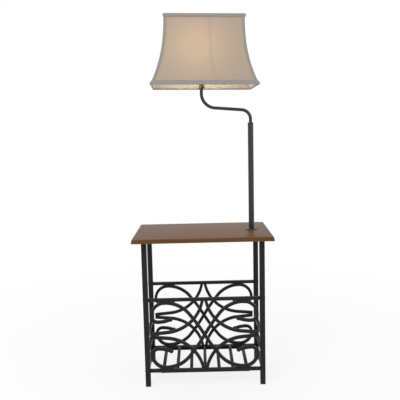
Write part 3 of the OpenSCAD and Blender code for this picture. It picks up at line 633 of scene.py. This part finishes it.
# %% Bolts and screws
shank = [(0, -32), (3, -32), (3, 0)]
bolt = turned("bolt", shank + [(6.5, 0), (6.5, 0.25)] + dome(6.4, 1.75)[1:-1] + [(0, 2)], 32)
bolts = []
for x in (-1, 1):
    for y in (-1, 1):
        for z in (LOW, HIGH):
            place = (Matrix.Translation((x * (LEG_X + LEG_HALF), y * LEG_Y, z))
                     @ turn_by(x * 90))
            bolts.append(copy_of(bolt, "bolt_copy", place))
dress_frame(join("domed_bolts", bolts), "frame_bolts")
bpy.data.objects.remove(bolt)

screw = turned("screw", [(0, -7), (2.5, -7), (2.5, 0), (4.75, 0), (4.75, 0.3)]
               + dome(4.7, 2.5)[1:-1] + [(0, 2.8)], 32)
screws = [copy_of(screw, "screw_copy",
                  Matrix.Translation((x * 165.6 * mm, y * LEG_Y, STRIP_Z))
                  @ turn_by(180, "X")) for x in (-1, 1) for y in (-1, 1)]
dress_frame(join("slat_screws", screws), "rack_screws")
bpy.data.objects.remove(screw)
print("fasteners made")

# %% Pole, flange and cap
at_pole = Matrix.Translation((0.201, 0.009, 0))
flange = turned("flange_disc", [(5.3, 604), (25, 604), (25, 605.2)]
                + arc_points(23.2, 605.2, 1.8, 0, 90, 5) + [(11.4, 607), (5.3, 607), (5.3, 604)])
tube = turned("pole_pipe", [(9.9, 607), (10.9, 607), (11.1, 607.2), (11.1, 1029.8), (10.9, 1030),
                            (9.9, 1030), (9.9, 623), (5.05, 623), (5.05, 607), (9.9, 607)])
cap = turned("pole_shoulder", [(5.05, 1010), (9.9, 1010), (9.9, 1030), (10.9, 1030),
                               (11.1, 1030.2), (11.1, 1031.3)]
             + arc_points(8.3, 1031.3, 2.8, 0, 50, 5) + [(7.6, 1034.4), (7.2, 1035), (5.05, 1035),
                                                          (5.05, 1010)])
for piece, node in ((flange, "pole_flange"), (tube, "pole_tube"), (cap, "pole_cap")):
    put(piece, at_pole)
    dress(piece, lit_pole_paint, "table", "black_metal", node)

# %% [markdown]
# ## Bent rods
# The scrolls, the arm and the harp are rods that were bent cold around round formers. The
# section is drawn once, and then follows the same moves as on the bench: an extrusion for
# a straight, and a spin about the former's centre for a bend.

# %% Rod bending helper


def along_angle(degrees):
    return Vector((cosd(degrees), 0, sind(degrees)))


def bent_rod(name, start, heading, steps, width=None, radius=None, corner=0.0, cut=None):
    """Bends a rod in the XZ plane. Steps are ("run", length) or ("bend", radius, left turn)
    in millimetres and degrees. The section is a rounded square or a circle."""
    clear()
    if radius:
        bpy.ops.mesh.primitive_circle_add(vertices=28, radius=radius * mm, fill_type="NOTHING")
    else:
        bpy.ops.mesh.primitive_plane_add(size=width * mm)
        mode("EDIT")
        bpy.ops.mesh.bevel(offset=corner * mm, segments=3, affect="VERTICES")
        bpy.ops.mesh.delete(type="ONLY_FACE")
        mode("OBJECT")
    rod = bpy.context.object
    rod.name = name
    point = Vector((start[0], 0, start[1])) * mm
    put(rod, Matrix.Translation(point) @ turn_by(90 - heading))
    mode("EDIT")
    bpy.ops.mesh.select_mode(type="VERT")
    bpy.ops.mesh.select_all(action="SELECT")
    bpy.ops.mesh.edge_face_add()
    bpy.ops.mesh.duplicate()
    bpy.ops.mesh.delete(type="ONLY_FACE")
    bpy.ops.mesh.select_all(action="DESELECT")
    mode("OBJECT")
    # Deleting the face drops the selection, so the copied ring is picked again by its numbers.
    count = len(rod.data.vertices) // 2
    for vertex in rod.data.vertices:
        vertex.select = vertex.index >= count
    for edge in rod.data.edges:
        edge.select = all(v >= count for v in edge.vertices)
    mode("EDIT")
    for step in steps:
        if step[0] == "run":
            move = along_angle(heading) * step[1] * mm
            extrude(move)
            point = point + move
        else:
            bend, turn = step[1] * mm, step[2]
            side = 90 if turn > 0 else -90
            centre = point + along_angle(heading + side) * bend
            bpy.ops.mesh.spin(steps=max(3, round(abs(turn) / 3)), angle=math.radians(turn),
                              center=centre, axis=(0, 1, 0), dupli=False)
            heading += turn
            point = centre + along_angle(heading - side) * bend
    bpy.ops.mesh.edge_face_add()
    tidy_mesh(rod)
    return rod, point, heading


# %% Where the scrolls' bends come from


def two_unknowns(a, b, c, d, e, f):
    return (e * d - b * f) / (a * d - b * c), (a * f - e * c) / (a * d - b * c)


ROD, CENTRE_Z, PANEL_HALF = 12, 207.5, 138.15
SLOPE, EASE = 59.6, 8.6
SWEEP = SLOPE - EASE
side_u = 218 - 4.5 - ROD / 2
near, far = two_unknowns(sind(SWEEP), sind(SLOPE) - sind(SWEEP),
                         1 - cosd(SWEEP), cosd(SWEEP) - cosd(SLOPE),
                         side_u - 53, PANEL_HALF - ROD / 2)
scroll_half = [("bend", far, EASE), ("bend", near, SWEEP), ("bend", 53, 90),
               ("bend", 24.5, 90), ("bend", 130, 22.5)]
print("scroll radii", round(near, 1), round(far, 1))

# %% [markdown]
# Each panel holds two S-shaped scrolls that cross in the middle. One half is bent from the
# centre outwards and gets its ball, and the other half is the same piece turned half a
# round. The mirrored scroll is halved into the first one, so the faces stay flush.

# %% One scroll
half, tip, _ = bent_rod("scroll_half", (0, 0), 180 - SLOPE, scroll_half, width=ROD, corner=1.2)
clear()
bpy.ops.mesh.primitive_uv_sphere_add(segments=32, ring_count=20, radius=9 * mm, location=tip)
ball = bpy.context.object
settle(ball)
pick(ball, "vertices", lambda v: (v.co - tip).z > 8.5 * mm)
bpy.ops.transform.resize(value=(1, 1, 0.98), center_override=tip)
tidy_mesh(ball)
half = join("scroll_half", [half, ball])
other = copy_of(half, "other_half", turn_by(180))
scroll = join("scroll", [half, other])
pick(scroll, "polygons", lambda face: face.center.length < 1.0 * mm
     and abs(face.normal.dot(along_angle(180 - SLOPE))) > 0.9)
bpy.ops.mesh.delete(type="ONLY_FACE")
tidy_mesh(scroll)


def halved(piece, slope, face):
    """Cuts the room for the other scroll out of the middle of this one."""
    cutter = block((0, face * (ROD / 4 + 1) * mm, 0),
                   (44 * mm, (ROD / 2 + 2) * mm, (ROD + 0.2) * mm), -math.radians(slope))
    modifier = piece.modifiers.new("lap", "BOOLEAN")
    modifier.operation = "DIFFERENCE"
    modifier.solver = "EXACT"
    modifier.object = cutter
    apply_modifiers(piece)
    bpy.data.objects.remove(cutter)
    tidy_mesh(piece)
    return piece


for end, y in ENDS:
    at_panel = Matrix.Translation((0, y, CENTRE_Z * mm))
    for letter, mirror, face in (("a", 1, -1), ("b", -1, 1)):
        piece = copy_of(scroll, f"scrollwork_{end}_{letter}", Matrix.Scale(mirror, 4, (1, 0, 0)))
        halved(piece, mirror * SLOPE, face)
        put(piece, at_panel)
        dress_frame(piece, f"scroll_{end}_{letter}")
bpy.data.objects.remove(scroll)
print("scrolls made")

# %% [markdown]
# Four quarter curves fill each panel. Each leaves the bar near the middle, swings out and
# ends cut off flat beside the leg. It is welded to the scroll that it crosses, and its
# faces were ground a touch lower there. The rod is bent a little too long, and the bisect
# tool trims it level with the bar, as a saw would.

# %% Quarter curves
FLAT, STEEP = 5, 79.4
end_u, end_v, start_u = -212.5, 6.05, -7.2
tail, bow = two_unknowns(cosd(FLAT), sind(STEEP) - sind(FLAT), sind(FLAT), cosd(FLAT) - cosd(STEEP),
                         start_u - end_u, PANEL_HALF - end_v)
curve, _, _ = bent_rod("curve", (end_u, end_v), FLAT,
                       [("run", tail), ("bend", bow, STEEP - FLAT), ("run", 11)],
                       width=ROD - 0.3, corner=1.2)
use(curve)
edit_all()
bpy.ops.mesh.bisect(plane_co=(0, 0, PANEL_HALF * mm), plane_no=(0, 0, 1), use_fill=True,
                    clear_outer=True)
tidy_mesh(curve)
for end, y in ENDS:
    for level_name, flip in (("high", 1), ("low", -1)):
        pair = [copy_of(curve, "curve_copy",
                        Matrix.Translation((0, y, CENTRE_Z * mm))
                        @ Matrix.Diagonal((mirror, 1, flip, 1))) for mirror in (1, -1)]
        dress_frame(join(f"quarter_curves_{end}_{level_name}", pair), f"curves_{end}_{level_name}")
bpy.data.objects.remove(curve)
print("quarter curves made, radius", round(bow, 1))

# %% [markdown]
# ## Table top
# The board's edge has a straight lip, a small step and a quarter round. A plane the size
# of the board is extruded up the lip, inset for the step, and then rises and draws in by
# turns along the round.

# %% Table board
BOARD_W, BOARD_D, BOARD_Z, ROUND = 540, 350, 588, 4.5
clear()
bpy.ops.mesh.primitive_plane_add(size=1, location=(0, 0, BOARD_Z * mm))
board = bpy.context.object
board.name = "veneered_board"
board.scale = (BOARD_W * mm, BOARD_D * mm, 1)
settle(board)
edit_all()


def draw_in(size, amount, height):
    """Raises the selected face, narrows it by the amount on every side, gives its new size."""
    smaller = size - Vector((2 * amount, 2 * amount))
    extrude((0, 0, height * mm))
    bpy.ops.transform.resize(value=(smaller.x / size.x, smaller.y / size.y, 1),
                             center_override=(0, 0, 0.6))
    return smaller


size = Vector((BOARD_W, BOARD_D))
for amount, height in ((0, 5.6), (0.4, 0.4), (1.0, 0.0), (0.1, 0.1), (0, 5.4)):
    size = draw_in(size, amount, height)
for i in range(6):
    a, b = 15 * i, 15 * (i + 1)
    size = draw_in(size, ROUND * (cosd(a) - cosd(b)), ROUND * (sind(b) - sind(a)))
mode("OBJECT")
tidy_mesh(board)


def upright_corner(edge):
    a, b = ends_of(board, edge)
    off_corner = abs(a.x) - abs(a.y) - (BOARD_W - BOARD_D) / 2 * mm
    return abs(off_corner) < 0.0006 and abs(a.z - b.z) > 0.002


pick(board, "edges", upright_corner)
bpy.ops.mesh.bevel(offset=0.8 * mm, segments=3, affect="EDGES")
tidy_mesh(board)
dress(board, wood, "table", "wood_top", "table_top")
print("board", [round(v, 4) for v in board.dimensions])

# %% [markdown]
# ## Arm
# The arm is a thin tube: a short rise from the pole, a bend to the left, a run that climbs
# slightly, and a bend back up to the socket. Its lower end sits on the pole's cap.

# %% Arm tube
LEAN = 2.75
run_length = ((192.5 + 37 * (sind(175) - 1) + 57 * (sind(175) - sind(90 - LEAN))
               + 17 * cosd(90 - LEAN)) / cosd(5))
arm, head, _ = bent_rod("arm_pipe", (201, 1035.3), 90,
                        [("run", 12), ("bend", 37, 85), ("run", run_length),
                         ("bend", 57, -85 - LEAN), ("run", 17)], radius=6.35)
put(arm, Matrix.Translation((0, 9 * mm, 0)))
dress(arm, lit_pole_paint, "arm", "black_metal", "arm_tube")
head.y = 9 * mm
on_head = Matrix.Translation(head) @ turn_by(LEAN)
print("arm's end at", [round(v, 5) for v in head])

# %% [markdown]
# ## Socket, bulb, harp and finial
# They are hidden inside the shade from the side, but show from below. The harp is a spring
# wire that carries the shade, and each side is bent like the arm.

# %% Socket, bulb and finial
cap_profile = [(5.05, 2), (8, 2), (8, 8), (9.5, 9.2), (14.2, 14), (15.7, 16), (16.2, 18),
               (16.2, 20), (15.3, 20), (13.3, 15), (8, 10), (5.05, 10), (5.05, 2)]
shell_profile = ([(15.3, 20), (16.2, 20)]
                 + [p for i in range(3) for p in ((16.2, 52 + 3 * i), (15.8, 52.9 + 3 * i),
                                                  (16.2, 53.8 + 3 * i))]
                 + [(16.2, 63.6), (15.9, 64), (15.3, 64), (15.3, 20)])
slope = math.radians(40)
meet_r, meet_z = 30 * math.cos(slope), 118 - 30 * math.sin(slope)
cone_h = (meet_r - 12.6) / math.tan(slope)
bulb_profile = ([(11.6, 64), (12.6, 64), (12.6, meet_z - cone_h - 4), (12.9, meet_z - cone_h - 1),
                 (13.6, meet_z - cone_h + 1.2)]
                + arc_points(0, 118, 30, -40, 90, 16)[:-1] + [(0, 148)])
finial_z = 244 + 2 + 0.6
finial_profile = [(3.05, 0), (6.1, 0), (6.5, 0.5), (6.5, 3), (6, 3.8), (4.3, 4.3), (3.9, 5.0)] \
    + arc_points(0, 12, 8, -58, 90, 12)[:-1] + [(0, 20)]
for name, profile, material, slot, node in (
        ("socket_bell", cap_profile, brass, "brass_parts", "socket_cap"),
        ("socket_barrel", shell_profile, brass, "brass_parts", "socket_shell"),
        ("bulb_envelope", bulb_profile, bulb_glass, "bulb_glass", "bulb_glass"),
        ("finial_knob", [(r, z + finial_z) for r, z in finial_profile], brass, "brass_parts",
         "finial")):
    piece = turned(name, profile)
    put(piece, on_head)
    dress(piece, material, "arm", slot, node)

# %% Harp
ear = Vector((24, 7))
foot = ear + 14 * Vector((cosd(60), sind(60)))
low_r = (54 - foot.x) / (1 - sind(60))
mid_z = foot.y + low_r * cosd(60)
long_r, short_r = two_unknowns(1 - sind(115), sind(115), -cosd(115), 1 + cosd(115),
                               54 - 3, 240 - 1.8 - mid_z)
wire_side, _, _ = bent_rod("harp_side", (foot.x, foot.y), 60,
                           [("bend", low_r, 30), ("bend", long_r, 25), ("bend", short_r, 65)],
                           radius=1.8)
ferrule = turned("ferrule", [(2.05, 0), (3.1, 0), (3.4, 0.4), (3.4, 11.5), (3.0, 12),
                             (3.4, 12.5), (3.4, 15.6), (3.0, 16), (1.0, 16), (1.0, 14),
                             (2.05, 14), (2.05, 0)], 32)
put(ferrule, Matrix.Translation((ear.x * mm, 0, ear.y * mm)) @ turn_by(30))
side_piece = join("harp_side", [wire_side, ferrule])
twin = copy_of(side_piece, "harp_twin", turn_by(180, "Z"))
pad = turned("harp_pad", [(0, 235), (6.6, 235), (7, 235.4), (7, 243.6), (6.6, 244), (3, 244),
                          (3, 263.5), (2.5, 264), (0, 264)], 40)
harp = join("harp_loop", [side_piece, twin, pad])
put(harp, on_head @ turn_by(HARP_TURN, "Z"))
dress(harp, brass, "arm", "brass_parts", "harp")

# %% Switch knob
knob = turned("knob_turned", [(0, 11.3), (2, 11.3), (2, 19.2), (4.6, 19.2), (5, 19.6), (5, 27.6),
                              (4.6, 28.2), (0, 28.2)], 32)
wing = square_bar("wing", (-1.25 * mm, -7 * mm, 19.2 * mm), (1.25 * mm, 7 * mm, 28.2 * mm),
                  1.0 * mm)
knob = join("turn_knob", [knob, wing])
put(knob, on_head @ Matrix.Translation((0, 0, 28 * mm)) @ turn_by(90, "Z") @ turn_by(90, "X"))
dress(knob, black_plastic, "switch_knob", "black_plastic", "switch_knob")
print("head parts made")

# %% [markdown]
# ## Shade
# The shade flares towards its foot, with corners that sweep out in a curve. A grid is laid
# on each side by moving its points: across the side by one coordinate and up the flare by
# the other. Between the corner wires the stretched cloth draws in by a millimetre or two.

# %% Shape of the shade
seat_axis = head + (Matrix.Rotation(math.radians(LEAN), 3, "Y") @ Vector((0, 0, 244.3 * mm)))
on_shade = (Matrix.Translation(seat_axis) @ turn_by(0.9)
            @ turn_by(2.2, "Z"))
FOOT_Z, RIM_Z, TALL = -239, 24, 263


def half_sizes(z):
    t = (z - FOOT_Z) / TALL
    flare = max(0, 1 - t) ** 2.4
    return 150.5 + 53 * flare, 90.5 + 32 * flare


def on_side(side, across, z, grow):
    """A point on one of the four sides: across runs from -1 to 1, in millimetres out."""
    half_x, half_y = half_sizes(z)
    half_x, half_y = half_x + grow, half_y + grow
    t = (z - FOOT_Z) / TALL
    drawn = 1.6 * (1 - across ** 2) * 4 * t * (1 - t)
    x, y = ((across * half_x, -(half_y - drawn)) if side % 2 == 0
            else (half_x - drawn, across * half_y))
    return Vector((x, y, z)) if side < 2 else Vector((-x, -y, z))


def map_cloth(sheet, side, up=None):
    """A UV map in metres, so that threads keep their size. up can replace the height."""
    layer = sheet.data.uv_layers[0].data
    for loop in sheet.data.loops:
        co = sheet.data.vertices[loop.vertex_index].co
        layer[loop.index].uv = (co.x if side % 2 == 0 else co.y,
                                up[loop.vertex_index] if up else co.z)


def cloth_side(side, grow, across=(-1, 1), heights=(FOOT_Z, RIM_Z), cols=24, rows=36):
    """One side as a grid with its UV map."""
    clear()
    bpy.ops.mesh.primitive_grid_add(x_subdivisions=cols, y_subdivisions=rows, size=2)
    sheet = bpy.context.object
    for vertex in sheet.data.vertices:
        a = across[0] + (across[1] - across[0]) * (vertex.co.x + 1) / 2
        z = heights[0] + (heights[1] - heights[0]) * (vertex.co.y + 1) / 2
        vertex.co = on_side(side, a, z, grow) * mm
    map_cloth(sheet, side)
    return sheet


def thickened(piece, thickness):
    """Merges the sides, faces them outwards and gives the cloth its thickness inwards."""
    use(piece)
    edit_all()
    bpy.ops.mesh.remove_doubles(threshold=0.00002)
    mode("OBJECT")
    outwards = sum(f.center.x * f.normal.x + f.center.y * f.normal.y for f in piece.data.polygons)
    if outwards < 0:
        mode("EDIT")
        bpy.ops.mesh.flip_normals()
        mode("OBJECT")
    solid = piece.modifiers.new("thickness", "SOLIDIFY")
    solid.thickness = thickness * mm
    solid.offset = -1
    apply_modifiers(piece)
    bpy.ops.object.shade_smooth_by_angle(angle=math.radians(40))
    put(piece, on_shade)
    return piece


# %% Cover and lining
cover = join("shade_cover_cloth", [cloth_side(side, 0) for side in range(4)])
cover = thickened(cover, 1.5)
dress(cover, shade_cloth, "shade", "shade_fabric", "shade_front", "shade_rear", "shade_left",
      "shade_right")
lining = join("shade_lining_cloth", [cloth_side(side, -1.5) for side in range(4)])
lining = thickened(lining, 0.8)
dress(lining, lining_cloth, "shade", "shade_lining", "shade_lining")
print("cover", [round(v, 4) for v in cover.dimensions])

# %% [markdown]
# A folded ribbon binds the cloth's edges. It rolls out a little over the top ring and the
# foot ring, turns round the ring and ends inside, and it bunches into a small knob at each
# corner. Its section is a list of points, and each column of a grid follows that list. The
# columns crowd together near the corners, where the ribbon goes round.

# %% Ribbon around the rings


def round_corner(point, half_x, half_y, radius, side):
    """Moves a point near a corner onto an arc, the last one to the middle of the arc."""
    along, half = (point.x, half_x) if side % 2 == 0 else (point.y, half_y)
    left = half - abs(along)
    if left >= radius:
        return point
    turn = math.radians(45) * (1 - left / radius)
    along = math.copysign(half - radius + radius * math.sin(turn), along)
    drop = radius * (1 - math.cos(turn))
    if side % 2 == 0:
        return Vector((along, point.y - math.copysign(drop, point.y), point.z))
    return Vector((point.x - math.copysign(drop, point.x), along, point.z))


def bound_edge(profile, radius=2.6, cols=36):
    """The ribbon of all four sides. The profile holds (out, height) pairs in millimetres."""
    ribbons = []
    run = [0]
    for a, b in zip(profile, profile[1:]):
        run.append(run[-1] + math.dist(a, b))
    for side in range(4):
        clear()
        bpy.ops.mesh.primitive_grid_add(x_subdivisions=cols, y_subdivisions=len(profile) - 1,
                                        size=2)
        ribbon = bpy.context.object
        row_of = {v.index: round((v.co.y + 1) / 2 * (len(profile) - 1))
                  for v in ribbon.data.vertices}
        for vertex in ribbon.data.vertices:
            across = math.sin(math.pi / 2 * vertex.co.x)
            out, z = profile[row_of[vertex.index]]
            half_x, half_y = half_sizes(z)
            from_corner = (1 - abs(across)) * (half_x if side % 2 == 0 else half_y)
            knob = 1 + 0.35 * math.exp(-(from_corner / 7) ** 2)
            out = out * knob if out > 0 else out
            vertex.co = round_corner(on_side(side, across, z, out), half_x + out, half_y + out,
                                     radius, side) * mm
        map_cloth(ribbon, side, {index: run[row] * mm for index, row in row_of.items()})
        ribbons.append(ribbon)
    return ribbons


roll = [(0.8, 0), (2.2, 1.4), (3.1, 3.8), (3.5, 7), (3.3, 10), (2.6, 12.4), (0.9, 13.9),
        (-2.0, 14.3), (-5.0, 14.2), (-6.3, 13.2), (-6.5, 11.6), (-5.6, 10.2), (-3.6, 9.6),
        (-3.1, 9)]
top_band = thickened(join("braid_top", bound_edge([(o, RIM_Z - 14 + h) for o, h in roll])), 0.6)
dress(top_band, trim_braid, "shade", "shade_trim", "shade_trim_top")
foot_band = thickened(join("braid_foot", bound_edge([(o, FOOT_Z + 16 - h * 16 / 14)
                                                     for o, h in reversed(roll)])), 0.6)
dress(foot_band, trim_braid, "shade", "shade_trim", "shade_trim_foot")
print("ribbon", [round(v, 4) for v in foot_band.dimensions])

# %% Ribbon down the corners
CORNER_W = 9.8
strips = []
for side in range(4):
    for sign in (-1, 1):
        strip = cloth_side(side, 0.8, heights=(FOOT_Z + 14, RIM_Z - 12), cols=8, rows=30)
        for vertex in strip.data.vertices:
            z = vertex.co.z / mm
            half = half_sizes(z)[side % 2] + 0.8
            flat = vertex.co.x if side % 2 == 0 else vertex.co.y
            share = (flat / mm / half + 1) / 2
            out = 0.8 + 0.6 * math.sin(math.pi * share)
            half_x, half_y = half_sizes(z)
            across = sign * (1 - share * CORNER_W / half)
            vertex.co = round_corner(on_side(side, across, z, out), half_x + out, half_y + out,
                                     1.6, side) * mm
        if sign > 0:
            use(strip)
            edit_all()
            bpy.ops.mesh.flip_normals()
            mode("OBJECT")
        map_cloth(strip, side)
        strips.append(strip)
corner_braid = thickened(join("braid_corners", strips), 0.8)
dress(corner_braid, trim_braid, "shade", "shade_trim", "shade_trim_corners")

# %% [markdown]
# Inside, a wire frame holds the cloth: a ring at the top, a ring at the foot and a rib in
# every corner. A point is extruded from bend to bend, and the chain of edges is made a
# curve. A curve can be given a round thickness, and it is then made a mesh again.

# %% Wire frame


def wire(points, radius, closed=False):
    clear()
    bpy.ops.mesh.primitive_plane_add(size=mm, location=Vector(points[0]) * mm)
    chain = bpy.context.object
    settle(chain)
    mode("EDIT")
    bpy.ops.mesh.select_mode(type="VERT")
    bpy.ops.mesh.select_all(action="SELECT")
    bpy.ops.mesh.merge(type="CENTER")
    for a, b in zip(points, points[1:]):
        extrude((b - a) * mm)
    if closed:
        mode("OBJECT")
        last = len(chain.data.vertices) - 1
        pick(chain, "vertices", lambda vertex: vertex.index in (0, last))
        bpy.ops.mesh.edge_face_add()
    mode("OBJECT")
    bpy.ops.object.convert(target="CURVE")
    chain = bpy.context.object
    chain.data.bevel_depth = radius * mm
    chain.data.bevel_resolution = 3
    chain.data.use_fill_caps = True
    bpy.ops.object.convert(target="MESH")
    return bpy.context.object


def corner_at(z, sx, sy, inset=4.1):
    half_x, half_y = half_sizes(z)
    return Vector((sx * (half_x - inset), sy * (half_y - inset), z))


corners = ((1, 1), (-1, 1), (-1, -1), (1, -1))
wires = [wire([corner_at(z, sx, sy) for sx, sy in corners], 1.45, True)
         for z in (FOOT_Z + 1.6, RIM_Z - 1.6)]
wires += [wire([corner_at(FOOT_Z + 1.6 + (TALL - 3.2) * i / 30, sx, sy) for i in range(31)], 1.4)
          for sx, sy in corners]
wire_frame = join("shade_wires", wires)
tidy_mesh(wire_frame)
put(wire_frame, on_shade)
dress(wire_frame, wire_paint, "shade", "shade_wire", "shade_frame")

# %% [markdown]
# The cover and the lining are cloth, stretched over those wires. Each was cut as four
# flared panels from a strip a little longer than the foot's outline.

# %% [markdown]
# ## Room and light
# A plain pale floor runs back out of view. To the camera and in reflections most of it is
# plain white light, and the rest is a matt white that takes the lamp's soft shadow. The
# white grows with the distance, so that the floor ends in the white world without a line.
# The world is gentler as a lamp than to the camera, so that colours show as they are
# written, and one large soft lamp from the upper left gives the bars their bright sides.

# %% Floor
clear()
bpy.ops.mesh.primitive_plane_add(size=30, location=(0, 8, 0))
floor = bpy.context.object
floor.name = "floor"
settle(floor)
floor_material, tree, shader, place = new_finish("pale_floor", Roughness=0.9)
tree.links.new(mix_colour(tree, ranged(tree, noise(tree, place["Object"], 0.6), 0.0, 1.0),
                          (0.93, 0.93, 0.93), (0.95, 0.95, 0.95)), shader.inputs["Base Color"])


def seen_rays(tree):
    path = tree.nodes.new("ShaderNodeLightPath")
    seen = maths(tree, "MAXIMUM", path.outputs["Is Camera Ray"], path.outputs["Is Glossy Ray"])
    return maths(tree, "MAXIMUM", seen, path.outputs["Is Transmission Ray"])


distance = vector_maths(tree, "LENGTH", place["Object"])["Value"]
whiter = add_node(tree, "MapRange", Value=distance, From_Min=0.3, From_Max=2.2, To_Min=0.82,
                  To_Max=1.0)
whiter.interpolation_type = "SMOOTHSTEP"
white = tree.nodes.new("ShaderNodeEmission")
blend = tree.nodes.new("ShaderNodeMixShader")
tree.links.new(maths(tree, "MULTIPLY", seen_rays(tree), whiter.outputs[0]), blend.inputs[0])
tree.links.new(shader.outputs[0], blend.inputs[1])
tree.links.new(white.outputs[0], blend.inputs[2])
tree.links.new(blend.outputs[0], tree.nodes["Material Output"].inputs["Surface"])
floor.data.materials.append(floor_material)

# %% Lamps and world
world = bpy.data.worlds.new("studio")
bpy.context.scene.world = world
world.use_nodes = True
tree = world.node_tree
back = tree.nodes["Background"]
back.inputs["Color"].default_value = (1, 1, 1, 1)
tree.links.new(maths(tree, "ADD", maths(tree, "MULTIPLY", seen_rays(tree), 0.3), 0.7),
               back.inputs["Strength"])


def soft_lamp(name, location, aim, size, power, colour=(1, 1, 1)):
    bpy.ops.object.light_add(type="AREA", location=location)
    lamp = bpy.context.object
    lamp.name = name
    lamp.data.shape = "DISK"
    lamp.data.size = size
    lamp.data.energy = power
    lamp.data.color = colour
    lamp.rotation_euler = (Vector(aim) - Vector(location)).to_track_quat("-Z", "Y").to_euler()
    return lamp


soft_lamp("key", (-1.6, -2.2, 2.6), (0, 0, 0.7), 1.6, 34)
soft_lamp("fill", (2.2, -2.0, 1.6), (0, 0, 0.7), 1.8, 14)
bpy.ops.object.light_add(type="POINT", location=bulb_centre)
bulb_light = bpy.context.object
bulb_light.data.energy = 1.5
bulb_light.data.shadow_soft_size = 0.03
bulb_light.data.color = (1.0, 0.85, 0.66)
bpy.data.objects["bulb_envelope"].visible_shadow = False

bpy.context.scene.view_settings.view_transform = "Standard"
